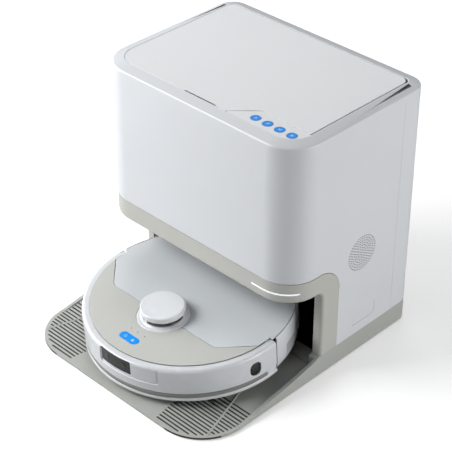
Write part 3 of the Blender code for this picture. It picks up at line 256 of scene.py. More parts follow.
def tidied(mesh, shift=(0, 0, 0), flat=0.25):
    """Welds the mesh, joins faces that lie in one plane and turns the faces outwards."""
    bm = bmesh.new()
    bm.from_mesh(mesh)
    bmesh.ops.remove_doubles(bm, verts=bm.verts, dist=0.00002)
    bmesh.ops.dissolve_degenerate(bm, edges=bm.edges, dist=0.00001)
    bmesh.ops.dissolve_limit(bm, angle_limit=math.radians(flat), verts=bm.verts, edges=bm.edges)
    bmesh.ops.translate(bm, verts=bm.verts, vec=shift)
    bmesh.ops.recalc_face_normals(bm, faces=bm.faces)
    bm.to_mesh(mesh)
    bm.free()
    return mesh


def sideways(profile, low_x, high_x):
    """A (y, z) side view extruded across X."""
    mesh = outline_mesh([profile], low_x, high_x)
    mesh.transform(Matrix(((0, 0, 1, 0), (1, 0, 0, 0), (0, 1, 0, 0), (0, 0, 0, 1))))
    return mesh


def block_mesh(blocks):
    """Closed blocks, each given by its low and high corner."""
    bm = bmesh.new()
    for low, high in blocks:
        low, high = Vector(low), Vector(high)
        bmesh.ops.create_cube(bm, size=1, matrix=Matrix.Translation((low + high) / 2)
                              @ Matrix.Diagonal((*(high - low), 1)))
    mesh = bpy.data.meshes.new("blocks")
    bm.to_mesh(mesh)
    bm.free()
    return mesh


def spun(profile, steps, start=0.0, sweep=2 * math.pi, closed=True):
    """(radius, z) points spun round Z from one angle through a sweep, with its ends filled."""
    whole = abs(sweep - 2 * math.pi) < 1e-6
    bm = bmesh.new()
    verts = [bm.verts.new((r * math.cos(start), r * math.sin(start), z)) for r, z in profile]
    edges = [bm.edges.new(pair) for pair in zip(verts, verts[1:])]
    if closed:
        edges.append(bm.edges.new((verts[-1], verts[0])))
    bmesh.ops.spin(bm, geom=verts + edges, cent=(0, 0, 0), axis=(0, 0, 1), angle=sweep,
                   steps=steps, use_merge=whole)
    bmesh.ops.remove_doubles(bm, verts=bm.verts, dist=0.000005)
    rims = [e for e in bm.edges if e.is_boundary]
    if rims:
        bmesh.ops.holes_fill(bm, edges=rims, sides=0)
    bmesh.ops.recalc_face_normals(bm, faces=bm.faces)
    mesh = bpy.data.meshes.new("spun")
    bm.to_mesh(mesh)
    bm.free()
    return mesh


def ringed(outlines):
    """Outlines with the same number of points, each with its height, skinned one to the next and closed."""
    bm = bmesh.new()
    rings = [[bm.verts.new((x, y, z)) for x, y in points] for points, z in outlines]
    for a, b in zip(rings, rings[1:] + rings[:1]):
        for i in range(len(a)):
            j = (i + 1) % len(a)
            bm.faces.new((a[i], a[j], b[j], b[i]))
    bmesh.ops.recalc_face_normals(bm, faces=bm.faces)
    mesh = bpy.data.meshes.new("ringed")
    bm.to_mesh(mesh)
    bm.free()
    return mesh


def moved(mesh, place=(0, 0, 0), turn=0.0, axis="Z"):
    mesh.transform(Matrix.Translation(place) @ Matrix.Rotation(turn, 4, axis))
    return mesh


def together(meshes):
    """Several meshes as one, which stay loose bodies."""
    bm = bmesh.new()
    for mesh in meshes:
        bm.from_mesh(mesh)
        bpy.data.meshes.remove(mesh)
    joined = bpy.data.meshes.new("together")
    bm.to_mesh(joined)
    bm.free()
    return joined


def carved(mesh, cutters, operation="DIFFERENCE", flat=0.25):
    """The mesh after a Boolean with each cutter mesh in turn."""
    body = bpy.data.objects.new("carving", mesh)
    bpy.context.scene.collection.objects.link(body)
    tools = []
    for cutter in cutters:
        tool = bpy.data.objects.new("cutter", cutter)
        bpy.context.scene.collection.objects.link(tool)
        tools.append(tool)
        modifier = body.modifiers.new("cut", "BOOLEAN")
        modifier.operation = operation
        modifier.solver = "EXACT"
        modifier.object = tool
    bpy.context.view_layer.update()
    result = bpy.data.meshes.new_from_object(body.evaluated_get(bpy.context.evaluated_depsgraph_get()))
    for used in [body, *tools]:
        data = used.data
        bpy.data.objects.remove(used, do_unlink=True)
        bpy.data.meshes.remove(data)
    result.materials.clear()
    return tidied(result, flat=flat)


def weigh(mesh, chosen):
    """Marks the edges that a heavy rounding takes, where chosen(a, b) is true of their ends."""
    bm = bmesh.new()
    bm.from_mesh(mesh)
    layer = bm.edges.layers.float.get("bevel_weight_edge") or bm.edges.layers.float.new("bevel_weight_edge")
    for edge in bm.edges:
        a, b = (v.co for v in edge.verts)
        if edge.calc_face_angle(0.0) > math.radians(30) and chosen(a, b):
            edge[layer] = 1.0
    bm.to_mesh(mesh)
    bm.free()
    return mesh


def piece(name, mesh, where, body, finish, stands_for=(), edge=0.0, segments=3, heavy=0.0, sharp=35):
    """A finished piece: the mesh goes to its place in the frame, gets its finish and rounded edges, and rides."""
    mesh.name = name
    mesh.transform(where)
    mesh.shade_smooth()
    mesh.set_sharp_from_angle(angle=math.radians(sharp))
    obj = bpy.data.objects.new(name, mesh)
    bpy.context.scene.collection.objects.link(obj)
    for one in (finish if isinstance(finish, (list, tuple)) else [finish]):
        mesh.materials.append(bpy.data.materials[one])
    if heavy:
        rounding = obj.modifiers.new("heavy_edges", "BEVEL")
        rounding.limit_method = "WEIGHT"
        rounding.width, rounding.segments = heavy, 7
        rounding.use_clamp_overlap = False
    if edge:
        rounding = obj.modifiers.new("edges", "BEVEL")
        rounding.limit_method = "ANGLE"
        rounding.angle_limit = math.radians(38)
        rounding.width, rounding.segments = edge, segments
        rounding.use_clamp_overlap = False
        rounding.harden_normals = True
    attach(obj, body)
    if stands_for:
        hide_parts(*([stands_for] if isinstance(stands_for, str) else stands_for))
    return obj


def dressed(node, finish, edge=0.0):
    """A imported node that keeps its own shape: its finish, and softened edges where it shows them."""
    obj = frame["nodes"][node]
    obj.data.materials.clear()
    obj.data.materials.append(bpy.data.materials[finish])
    if edge:
        weld = obj.modifiers.new("weld", "WELD")
        weld.merge_threshold = 0.00001
        rounding = obj.modifiers.new("edges", "BEVEL")
        rounding.limit_method = "ANGLE"
        rounding.angle_limit = math.radians(38)
        rounding.width, rounding.segments = edge, 2
        rounding.use_clamp_overlap = True
        rounding.harden_normals = False
    return obj


# ---------------------------------------------------------------- finishes
def linear(hex_colour, alpha=1.0):
    """An sRGB hex colour as linear light."""
    parts = [int(hex_colour[i:i + 2], 16) / 255 for i in (1, 3, 5)]
    return (*[c / 12.92 if c <= 0.04045 else ((c + 0.055) / 1.055) ** 2.4 for c in parts], alpha)


def shaded(hex_colour, factor):
    return (*[min(c * factor, 1.0) for c in linear(hex_colour)[:3]], 1.0)


def per_mm(size):
    """Texture scale at which one feature is this many millimetres across."""
    return 1000.0 / size


def node(tree, kind, settings=None, links=None):
    """Adds a node, with its settings or input values by name or number, and its links."""
    made = tree.nodes.new(kind)
    for name, value in (settings or {}).items():
        if isinstance(name, int) or name in made.inputs:
            made.inputs[name].default_value = value
        else:
            setattr(made, name, value)
    for name, source in (links or {}).items():
        tree.links.new(source, made.inputs[name])
    return made


def blank(name, **sockets):
    """A material with its Principled shader's uniform values set on its own sockets."""
    material = bpy.data.materials.new(name)
    material.use_nodes = True
    shader = material.node_tree.nodes["Principled BSDF"]
    for socket, value in sockets.items():
        shader.inputs[socket.replace("_", " ")].default_value = value
    return material, material.node_tree, shader


def drifting(tree, place, hex_colour, span, low, high):
    """The colour, drifting between two shades of itself over a span in millimetres."""
    slow = node(tree, "ShaderNodeTexNoise", {"Scale": per_mm(span), "Detail": 2.0}, {"Vector": place})
    return node(tree, "ShaderNodeMix", {"data_type": "RGBA", 6: shaded(hex_colour, low), 7: shaded(hex_colour, high)},
                {0: slow.outputs["Fac"]}).outputs[2]


def moulded(name, hex_colour, rough, grain, depth, ior=1.53, low=0.975, high=1.02, **sockets):
    """Moulded plastic: grain is the tool texture's size and depth its height, both in millimetres."""
    material, tree, shader = blank(name, IOR=ior, **sockets)
    place = node(tree, "ShaderNodeTexCoord").outputs["Object"]
    tree.links.new(drifting(tree, place, hex_colour, 130, low, high), shader.inputs["Base Color"])
    fine = node(tree, "ShaderNodeTexNoise", {"Scale": per_mm(grain), "Detail": 3.0, "Roughness": 0.6},
                {"Vector": place})
    wide = node(tree, "ShaderNodeTexNoise", {"Scale": per_mm(22), "Detail": 2.0}, {"Vector": place})
    both = node(tree, "ShaderNodeMath", {"operation": "ADD"}, {0: fine.outputs["Fac"], 1: wide.outputs["Fac"]})
    spread = node(tree, "ShaderNodeMapRange", {"From Min": 0.5, "From Max": 1.5, "To Min": rough - 0.04,
                                               "To Max": rough + 0.04}, {"Value": both.outputs[0]})
    tree.links.new(spread.outputs["Result"], shader.inputs["Roughness"])
    bump = node(tree, "ShaderNodeBump", {"Strength": 0.6, "Distance": depth / 1000}, {"Height": fine.outputs["Fac"]})
    tree.links.new(bump.outputs["Normal"], shader.inputs["Normal"])
    return material


def make_finishes(tones):
    # White ABS, injection moulded in a fine spark-eroded tool: satin, with a soft wide highlight.
    moulded("abs_satin_moulded_shell", tones.shell, 0.36, 0.45, 0.010)
    # The same ABS from a smoother tool: the lid and the control panel shine a little more.
    moulded("abs_smooth_moulded_lid", tones.lid, 0.30, 0.40, 0.006)
    # Warm grey ABS, spark-eroded: the band round the niche, a little duller than the shell.
    moulded("abs_satin_moulded_trim", tones.trim, 0.38, 0.50, 0.012)
    # Grey ABS with a coarse chemically etched grain, so shoes and wheels don't mark it.
    moulded("abs_etched_moulded_ramp", tones.ramp, 0.52, 0.8, 0.035, low=0.96, high=1.03)
    # The same grained ABS, darker, at the bottom of the grooves: painted shade in the grooves.
    moulded("abs_grey_groove_shade", "#3B3D3A", 0.75, 0.8, 0.035, low=0.8, high=1.2)
    # White polycarbonate blend with a polished gloss coat: bumper, side wall and turret.
    moulded("pc_abs_gloss_coated_skin", tones.robot, 0.26, 0.35, 0.004, ior=1.55, Coat_Weight=0.35,
            Coat_Roughness=0.12)
    # Polycarbonate blend under a cool pearl spray coat: tiny flakes catch the light.
    coated("pc_abs_pearl_sprayed_cover", tones.cover, 0.34)
    # The same blend under a warm matt spray coat on the front deck.
    coated("pc_abs_matt_sprayed_deck", tones.deck, 0.42)
    # Black ABS, spark-eroded: linings and housings that should not shine.
    moulded("abs_black_eroded_lining", "#161617", 0.58, 0.7, 0.03, low=0.8, high=1.3)
    # Mid grey glass-filled nylon, moulded: hubs, forks, guards and the wash tray.
    moulded("nylon_grey_moulded_fittings", "#8E908F", 0.50, 0.6, 0.02)
    # Smoked polycarbonate, polished: nearly black, with sharp reflections, clear only to infrared.
    moulded("polycarbonate_smoked_polished", "#0E0E11", 0.07, 3.0, 0.0008, ior=1.585, low=0.8, high=1.4,
            Coat_Weight=0.6, Coat_Roughness=0.03)
    # Optical glass of the side range finder, polished over a dark barrel.
    moulded("glass_dark_polished_lens", "#20242A", 0.05, 4.0, 0.0005, ior=1.52, low=0.7, high=1.5, Coat_Weight=1.0,
            Coat_Roughness=0.02)
    # Thermoplastic elastomer, over-moulded: the bumper's soft grey strip.
    moulded("tpe_grey_overmoulded_strip", tones.strip, 0.46, 0.5, 0.010, ior=1.50, Sheen_Weight=0.15)
    # Black nitrile rubber, compression moulded: dull, faintly dusty on the raised parts.
    moulded("nitrile_rubber_moulded_black", "#202021", 0.78, 0.9, 0.05, ior=1.52, low=0.7, high=1.35,
            Sheen_Weight=0.2)
    # Clear styrene-acrylic water tank, moulded with a light smoke tint.
    moulded("san_clear_moulded_tank", "#A9B7C2", 0.12, 6.0, 0.002, ior=1.57, Transmission_Weight=0.75)
    # Charging contacts: brass under bright gold plating, with drawn marks along the contact.
    metal("brass_gold_plated_contact", "#D9AE5E", 0.24, 0.15)
    # Nickel-plated steel: inlet blades, axle ends and screws.
    metal("steel_nickel_plated", "#B9BBBD", 0.28, 0.20)
    # Nylon monofilament, extruded: stiff dark bristles.
    moulded("nylon_extruded_bristle", "#3A3C3E", 0.38, 0.2, 0.002, ior=1.53, low=0.8, high=1.1)
    # Blue PVC sleeve, heat-shrunk round the battery cells: glossy with faint folds.
    moulded("pvc_blue_heat_shrunk", "#2D5E9E", 0.22, 9.0, 0.35, low=0.9, high=1.1)
    # Grey card, pressed: the dust bag's collar.
    moulded("board_grey_pressed_collar", "#B8AD98", 0.85, 0.6, 0.03, low=0.9, high=1.06)
    # White screen-printed ink: the signs on the keys.
    ink, tree, shader = blank("ink_white_screen_printed", Roughness=0.5, Emission_Strength=0.04)
    place = node(tree, "ShaderNodeTexCoord").outputs["Object"]
    shade = drifting(tree, place, "#C9E2F7", 1.2, 0.93, 1.0)
    tree.links.new(shade, shader.inputs["Base Color"])
    tree.links.new(shade, shader.inputs["Emission Color"])
    lit_key("acrylic_blue_backlit_key", tones.keys)
    # Opal polycarbonate light guide, moulded: even white light with a faint cloud in it.
    glow, tree, shader = blank("polycarbonate_opal_light_guide", Roughness=0.3, Emission_Strength=0.62)
    place = node(tree, "ShaderNodeTexCoord").outputs["Object"]
    tree.links.new(drifting(tree, place, "#F4F8FF", 6, 0.9, 1.0), shader.inputs["Emission Color"])
    tree.links.new(drifting(tree, place, "#F4F8FF", 6, 0.9, 1.0), shader.inputs["Base Color"])
    pile_cloth("microfibre_loop_pile", tones.cloth)
    fleece("polypropylene_spun_fleece", "#D9D5C8")


def coated(name, hex_colour, rough):
    """Sprayed plastic: fine flakes lighten and darken points of the coat, over a soft orange peel."""
    material, tree, shader = blank(name, IOR=1.5, Coat_Weight=0.25, Coat_Roughness=0.2, Metallic=0.0)
    place = node(tree, "ShaderNodeTexCoord").outputs["Object"]
    base = drifting(tree, place, hex_colour, 140, 0.97, 1.02)
    # Flakes are about 0.05 mm across, drawn at 0.5 mm so that they show.
    flake = node(tree, "ShaderNodeTexVoronoi", {"Scale": per_mm(0.5)}, {"Vector": place})
    sparkle = node(tree, "ShaderNodeMapRange", {"To Min": 0.0, "To Max": 0.10}, {"Value": flake.outputs["Distance"]})
    tone = node(tree, "ShaderNodeMix", {"data_type": "RGBA", 7: shaded(hex_colour, 1.25)},
                {0: sparkle.outputs["Result"], 6: base})
    tree.links.new(tone.outputs[2], shader.inputs["Base Color"])
    peel = node(tree, "ShaderNodeTexNoise", {"Scale": per_mm(1.6), "Detail": 2.0}, {"Vector": place})
    spread = node(tree, "ShaderNodeMapRange", {"To Min": rough - 0.05, "To Max": rough + 0.05},
                  {"Value": peel.outputs["Fac"]})
    tree.links.new(spread.outputs["Result"], shader.inputs["Roughness"])
    bump = node(tree, "ShaderNodeBump", {"Strength": 0.5, "Distance": 0.00001}, {"Height": peel.outputs["Fac"]})
    tree.links.new(bump.outputs["Normal"], shader.inputs["Normal"])


def metal(name, hex_colour, rough, line):
    """Plated metal with fine drawn lines, line millimetres apart."""
    material, tree, shader = blank(name, Metallic=1.0)
    place = node(tree, "ShaderNodeTexCoord").outputs["Object"]
    tree.links.new(drifting(tree, place, hex_colour, 8, 0.92, 1.05), shader.inputs["Base Color"])
    drawn = node(tree, "ShaderNodeMapping", {"Scale": (1.0, 1.0, 12.0)}, {"Vector": place})
    lines = node(tree, "ShaderNodeTexNoise", {"Scale": per_mm(line * 8), "Detail": 3.0},
                 {"Vector": drawn.outputs["Vector"]})
    spread = node(tree, "ShaderNodeMapRange", {"To Min": rough - 0.06, "To Max": rough + 0.08},
                  {"Value": lines.outputs["Fac"]})
    tree.links.new(spread.outputs["Result"], shader.inputs["Roughness"])
    bump = node(tree, "ShaderNodeBump", {"Strength": 0.3, "Distance": 0.00001}, {"Height": lines.outputs["Fac"]})
    tree.links.new(bump.outputs["Normal"], shader.inputs["Normal"])


def lit_key(name, hex_colour):
    """Blue acrylic key, moulded and lit from behind: brightest in the middle, deeper at the rim."""
    material, tree, shader = blank(name, IOR=1.49, Roughness=0.45, Specular_IOR_Level=0.22, Emission_Strength=0.12)
    coords = node(tree, "ShaderNodeTexCoord")
    centred = node(tree, "ShaderNodeVectorMath", {"operation": "SUBTRACT", 1: (0.5, 0.5, 1.0)},
                   {0: coords.outputs["Generated"]})
    flat = node(tree, "ShaderNodeVectorMath", {"operation": "MULTIPLY", 1: (1.0, 1.0, 0.0)},
                {0: centred.outputs["Vector"]})
    away = node(tree, "ShaderNodeVectorMath", {"operation": "LENGTH"}, {0: flat.outputs["Vector"]})
    cloud = node(tree, "ShaderNodeTexNoise", {"Scale": per_mm(2.5)}, {"Vector": coords.outputs["Object"]})
    edge = node(tree, "ShaderNodeMath", {"operation": "MULTIPLY_ADD", 1: 0.12},
            {0: cloud.outputs["Fac"], 2: away.outputs["Value"]})
    glow = node(tree, "ShaderNodeValToRGB", None, {"Fac": edge.outputs[0]})
    ramp = glow.color_ramp
    ramp.elements[0].position, ramp.elements[0].color = 0.18, shaded(hex_colour, 1.12)
    ramp.elements[1].position, ramp.elements[1].color = 0.62, shaded(hex_colour, 0.86)
    tree.links.new(glow.outputs["Color"], shader.inputs["Base Color"])
    tree.links.new(glow.outputs["Color"], shader.inputs["Emission Color"])
    return material


def pile_cloth(name, hex_colour):
    """Polyester microfibre, knitted in loops about 1.2 mm apart: matt, with a soft bloom at the edges."""
    material, tree, shader = blank(name, Roughness=0.95, Sheen_Weight=0.5, Sheen_Roughness=0.4)
    place = node(tree, "ShaderNodeTexCoord").outputs["Object"]
    loops = node(tree, "ShaderNodeTexVoronoi", {"Scale": per_mm(1.2)}, {"Vector": place})
    fuzz = node(tree, "ShaderNodeTexNoise", {"Scale": per_mm(0.5), "Detail": 4.0}, {"Vector": place})
    # The colour darkens away from each loop's middle: painted shade in the hollows between the loops.
    tone = node(tree, "ShaderNodeMix", {"data_type": "RGBA", 6: shaded(hex_colour, 1.15), 7: shaded(hex_colour, 0.62)},
                {0: loops.outputs["Distance"]})
    tree.links.new(tone.outputs[2], shader.inputs["Base Color"])
    height = node(tree, "ShaderNodeMath", {"operation": "SUBTRACT"},
            {0: fuzz.outputs["Fac"], 1: loops.outputs["Distance"]})
    bump = node(tree, "ShaderNodeBump", {"Strength": 0.9, "Distance": 0.0006}, {"Height": height.outputs[0]})
    tree.links.new(bump.outputs["Normal"], shader.inputs["Normal"])


def fleece(name, hex_colour):
    """Spun-bonded polypropylene: long fibres in a bonded grid, about 1.5 mm from point to point."""
    material, tree, shader = blank(name, Roughness=0.88, Sheen_Weight=0.25)
    place = node(tree, "ShaderNodeTexCoord").outputs["Object"]
    stretched = node(tree, "ShaderNodeMapping", {"Scale": (1.0, 1.0, 0.15)}, {"Vector": place})
    fibres = node(tree, "ShaderNodeTexNoise", {"Scale": per_mm(0.7), "Detail": 5.0, "Distortion": 0.6},
                  {"Vector": stretched.outputs["Vector"]})
    points = node(tree, "ShaderNodeTexVoronoi", {"Scale": per_mm(1.5), "Randomness": 0.15}, {"Vector": place})
    tone = node(tree, "ShaderNodeMix", {"data_type": "RGBA", 6: shaded(hex_colour, 0.85), 7: shaded(hex_colour, 1.08)},
                {0: fibres.outputs["Fac"]})
    tree.links.new(tone.outputs[2], shader.inputs["Base Color"])
    height = node(tree, "ShaderNodeMath", {"operation": "ADD"},
            {0: fibres.outputs["Fac"], 1: points.outputs["Distance"]})
    bump = node(tree, "ShaderNodeBump", {"Strength": 0.8, "Distance": 0.00025}, {"Height": height.outputs[0]})
    tree.links.new(bump.outputs["Normal"], shader.inputs["Normal"])


# ---------------------------------------------------------------- station outlines
def cabinet_outline(inset=0.0, steps=14):
    """The cabinet from above, moved inwards by inset."""
    front, rear = max(FRONT_CORNER - inset, 0.002), max(REAR_CORNER - inset, 0.002)
    x = HALF - inset
    return filleted([(-x, inset, front), (x, inset, front), (x, DEPTH - inset, rear), (-x, DEPTH - inset, rear)], steps)


def floor_height(y):
    """Top of the ramp between its side rails."""
    foot = -REACH + FLAT_LENGTH
    return PLATE_THICK + max(0.0, (NICHE_FLOOR - PLATE_THICK) * (y - foot) / (FLOOR_END - foot))


def on_outline(point, inset=0.0002):
    """True on the cabinet's outer surface."""
    x, y = abs(point.x), point.y
    if y < FRONT_CORNER and x > HALF - FRONT_CORNER:
        return math.hypot(x - (HALF - FRONT_CORNER), y - FRONT_CORNER) > FRONT_CORNER - inset
    return x > HALF - inset or y < inset


# ---------------------------------------------------------------- station pieces
def ramp_moulding(sizes):
    """Ramp, rails and plinth in one moulding, with anti-slip grooves and guide ridges pressed into it."""
    foot, above = -REACH + FLAT_LENGTH, 2 * PLINTH
    outline = filleted([(-HALF, -REACH, RAMP_CORNER), (HALF, -REACH, RAMP_CORNER),
                        (HALF, DEPTH, REAR_CORNER), (-HALF, DEPTH, REAR_CORNER)], 22)
    rail = [(-REACH - 0.02, PLATE_THICK), (foot, PLATE_THICK + 0.0004), (foot + 0.040, 0.0112),
            (foot + 0.083, 0.0185), (foot + 0.128, 0.0260), (foot + 0.158, 0.0325), (PILLAR_FRONT, PLINTH),
            (PILLAR_FRONT, above), (-REACH - 0.02, above)]
    ahead = PILLAR_FRONT - 0.008
    side = HALF - TRIM_DEPTH - SEAM
    floor = [(foot - 0.01, PLATE_THICK), (foot, PLATE_THICK), (FLOOR_END, NICHE_FLOOR), (FLOOR_END, above),
             (foot - 0.01, above)]
    run = [(foot - 0.01, PLATE_THICK), (foot, PLATE_THICK), (ahead, floor_height(ahead)), (ahead, above),
           (foot - 0.01, above)]
    lining_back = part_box("niche_liner")[1].y - FRONT
    lining_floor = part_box("niche_liner")[0].z
    pockets = [((-side - GAP, FLOOR_END - 0.004, lining_floor - GAP), (side + GAP, lining_back + GAP, above)),
               ((-side, lining_back + 0.004, 0.006), (side, DEPTH - 0.008, above))]
    tracks, low = [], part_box("left_tyre")[0].z - 2 * GAP
    for wheel in ("left_tyre", "right_tyre"):
        a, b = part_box(wheel)
        tracks.append(((a.x - 0.004, (a.y + b.y) / 2 - FRONT - 0.030, low),
                (b.x + 0.004, (a.y + b.y) / 2 - FRONT + 0.045, above)))
    mesh = carved(outline_mesh([outline], 0.0, PLINTH), [
        sideways(rail, -HALF - 0.01, HALF + 0.01), sideways(floor, -side, side),
        sideways(run, -HALF + 0.006, HALF - 0.006), block_mesh(pockets), block_mesh(tracks)])
    grooves = []
    for i in range(sizes.groove_count):
        y = -0.0745 - i * sizes.groove_pitch
        inner = 0.0935 + (-0.1401 - y) * 0.158
        drop = max(0.0, -(REACH - RAMP_CORNER) - y)
        outer = HALF - RAMP_CORNER + math.sqrt((RAMP_CORNER - 0.006) ** 2 - drop ** 2)
        top = floor_height(y)
        for sign in (-1, 1):
            x0, x1 = sorted((sign * inner, sign * outer))
            slot = rectangle(x0, y - sizes.groove_width / 2, x1, y + sizes.groove_width / 2, sizes.groove_width * 0.49,
                    4)
            grooves.append(outline_mesh([slot], top - sizes.groove_depth, top + 0.01))
    mesh = carved(mesh, [together(grooves)], flat=0.1)
    foot_line = filleted([(-HALF - 0.01, -REACH - 0.01, RAMP_CORNER), (HALF + 0.01, -REACH - 0.01, RAMP_CORNER),
                          (HALF + 0.01, DEPTH + 0.01, REAR_CORNER), (-HALF - 0.01, DEPTH + 0.01, REAR_CORNER)], 22)
    inner_line = filleted([(-HALF + 0.003, -REACH + 0.003, RAMP_CORNER - 0.003),
            (HALF - 0.003, -REACH + 0.003, RAMP_CORNER - 0.003),
                           (HALF - 0.003, DEPTH - 0.003, REAR_CORNER - 0.003),
                           (-HALF + 0.003, DEPTH - 0.003, REAR_CORNER - 0.003)], 22)
    mesh = carved(mesh, [outline_mesh([foot_line, inner_line], -0.01, 0.0014)], flat=0.1)
    ramp = piece("ramp_moulding", mesh, STATION, "station", ("abs_etched_moulded_ramp", "abs_grey_groove_shade"),
            "base_plate",
                 edge=0.0003, segments=2)
    # Faces at the bottom of the grooves take the second, darker finish: painted shade in the grooves.
    for face in ramp.data.polygons:
        y, z = face.center.y - FRONT, face.center.z
        in_groove = PLATE_THICK - 0.004 < z < floor_height(y) - sizes.groove_depth / 4
        if face.area < 0.0004 and y < -0.06 and in_groove and z > 0.002:
            face.material_index = int(abs(face.center.x) < HALF - 0.008)
    for side_name, sign in (("left", -1), ("right", 1)):
        rise = []
        for y in (-0.050, -0.100, -0.155):
            x = sign * (0.1508 + (-0.0477 - y) * 0.31)
            rise.append((x, y, floor_height(y)))
        ridge = ridge_mesh(rise, 0.0030, 0.0012)
        piece("guide_ridge_" + side_name, ridge, STATION, "station", "abs_etched_moulded_ramp",
              sharp=50)


def ridge_mesh(path, width, height):
    """A low rounded ridge along a path of points."""
    section = [(-width / 2, -0.0003)] + [(-width / 2 * math.cos(a), height * math.sin(a))
                                         for a in (math.pi * i / 8 for i in range(9))] + [(width / 2, -0.0003)]
    bm = bmesh.new()
    direction = (Vector(path[-1]) - Vector(path[0])).normalized()
    across = Vector((-direction.y, direction.x, 0)).normalized()
    stations = [(Vector(path[0]) - direction * 0.002, 0.1), (Vector(path[0]), 0.8)]
    stations += [(Vector(p), 1.0) for p in path[1:-1]] + [(Vector(path[-1]), 0.8),
            (Vector(path[-1]) + direction * 0.002, 0.1)]
    rings = [[bm.verts.new(centre + across * s + Vector((0, 0, t * tall if t > 0 else t))) for s, t in section]
             for centre, tall in stations]
    for a, b in zip(rings, rings[1:]):
        for i in range(len(a)):
            j = (i + 1) % len(a)
            bm.faces.new((a[i], a[j], b[j], b[i]))
    bm.faces.new(rings[0])
    bm.faces.new(rings[-1])
    bmesh.ops.recalc_face_normals(bm, faces=bm.faces)
    mesh = bpy.data.meshes.new("ridge")
    bm.to_mesh(mesh)
    bm.free()
    return mesh


def trim_profile(pillar_front):
    """Side view of the trim: the band over the niche and the pillar behind it."""
    ahead, low = -0.02, PLINTH + GAP
    return filleted([(ahead, TRIM_LOW, 0), (pillar_front, TRIM_LOW, ARCH_RADIUS), (pillar_front, low, 0),
                     (PILLAR_BACK, low, 0), (PILLAR_BACK, TRIM_TOP, PILLAR_RADIUS), (ahead, TRIM_TOP, 0)], 14)


def trim_arch(sizes):
    """The warm band over the niche and its two pillars, turned softly into the opening."""
    ring = outline_mesh([cabinet_outline(), cabinet_outline(TRIM_DEPTH)], PLINTH - 0.01, TRIM_TOP + 0.02)
    mesh = carved(ring, [sideways(trim_profile(PILLAR_FRONT), -HALF - 0.01, HALF + 0.01)], "INTERSECT")
    setback = block_mesh([((-HALF - 0.01, PILLAR_FRONT - ARCH_RADIUS, PLINTH - 0.02),
            (0, LEFT_PILLAR_FRONT + 0.02, TRIM_LOW + 0.001))])
    mesh = carved(mesh, [carved(setback, [sideways(trim_profile(LEFT_PILLAR_FRONT), -HALF - 0.02, HALF + 0.02)])])
    groove = light_outline(-0.002, GAP)
    mesh = carved(mesh, [outline_mesh([groove], LIGHT_Z - LIGHT_HEIGHT / 2 - GAP, LIGHT_Z + LIGHT_HEIGHT / 2 + GAP)])

    def opening_edge(a, b):
        for p in (a, b):
            front = PILLAR_FRONT if p.x > 0 else LEFT_PILLAR_FRONT
            bend_y, bend_z = front - ARCH_RADIUS, TRIM_LOW - ARCH_RADIUS
            band = abs(p.z - TRIM_LOW) < 0.0002 and p.y < bend_y + 0.001
            arch = (abs(math.hypot(p.y - bend_y, p.z - bend_z) - ARCH_RADIUS) < 0.0004
                    and p.y > bend_y - 0.0005 and p.z > bend_z - 0.0005)
            post = abs(p.y - front) < 0.0003 and p.z < bend_z + 0.001
            if not (on_outline(p) and (band or arch or post)):
                return False
        return True

    weigh(mesh, opening_edge)
    piece("trim_arch", mesh, STATION, "station", "abs_satin_moulded_trim", "front_trim",
          heavy=sizes.trim_round, sharp=40)


def light_outline(proud, grow, depth=LIGHT_DEPTH):
    """From above, the narrow run of the light guide along the front and round the right corner."""
    def run(inset):
        kept = [p for p in cabinet_outline(inset, 20) if p[0] > LIGHT_START and p[1] < LIGHT_END]
        end = HALF - FRONT_CORNER + math.sqrt((FRONT_CORNER - inset) ** 2 - (FRONT_CORNER - LIGHT_END - grow) ** 2)
        return [(LIGHT_START - grow, inset)] + kept + [(end, LIGHT_END + grow)]
    return run(proud) + run(depth + grow)[::-1]


def light_guide():
    mesh = outline_mesh([light_outline(0.0002, 0.0)], LIGHT_Z - LIGHT_HEIGHT / 2, LIGHT_Z + LIGHT_HEIGHT / 2)
    piece("light_guide", mesh, STATION, "station", "polycarbonate_opal_light_guide", "light_strip",
          edge=0.0007)


def cabinet_skin(sizes):
    """White front and sides in one shell, open behind, with the vent and hatch holes."""
    mesh = outline_mesh([cabinet_outline(), cabinet_outline(WALL)], PLINTH + GAP, RIM_LOW - 0.00003)
    below = filleted([(-0.03, 0.0, 0), (PILLAR_BACK + SEAM, 0.0, 0),
                      (PILLAR_BACK + SEAM, TRIM_TOP + SEAM, PILLAR_RADIUS + SEAM), (-0.03, TRIM_TOP + SEAM, 0)], 14)
    behind = block_mesh([((-HALF - 0.01, REAR_SEAM, 0), (HALF + 0.01, DEPTH + 0.01, HEIGHT + 0.01))])
    vent = outline_mesh([circle(0, 0, VENT_RADIUS + 0.0001, 64)], HALF - 0.02, HALF + 0.01)
    vent.transform(Matrix.Translation((0, VENT_Y, VENT_Z)) @ Matrix.Rotation(math.pi / 2, 4, "Y"))
    mesh = carved(mesh, [sideways(below, -HALF - 0.01, HALF + 0.01), behind, vent,
                         sideways(hatch_outline(0.00035), HALF - 0.02, HALF + 0.01)])

    def lower_edge(a, b):
        for p in (a, b):
            level = abs(p.z - TRIM_TOP - SEAM) < 0.0003 and p.y < PILLAR_BACK + SEAM - PILLAR_RADIUS + 0.001
            bend = (abs(math.hypot(p.y - (PILLAR_BACK - PILLAR_RADIUS),
                    p.z - (TRIM_TOP - PILLAR_RADIUS)) - PILLAR_RADIUS - SEAM) < 0.0004
                    and p.y > PILLAR_BACK - PILLAR_RADIUS - 0.001 and p.z > TRIM_TOP - PILLAR_RADIUS - 0.001)
            if not (on_outline(p) and (level or bend)):
                return False
        return True

    weigh(mesh, lower_edge)
    piece("cabinet_skin", mesh, STATION, "station", "abs_satin_moulded_shell", "cabinet_shell",
          heavy=sizes.shell_round, sharp=40)


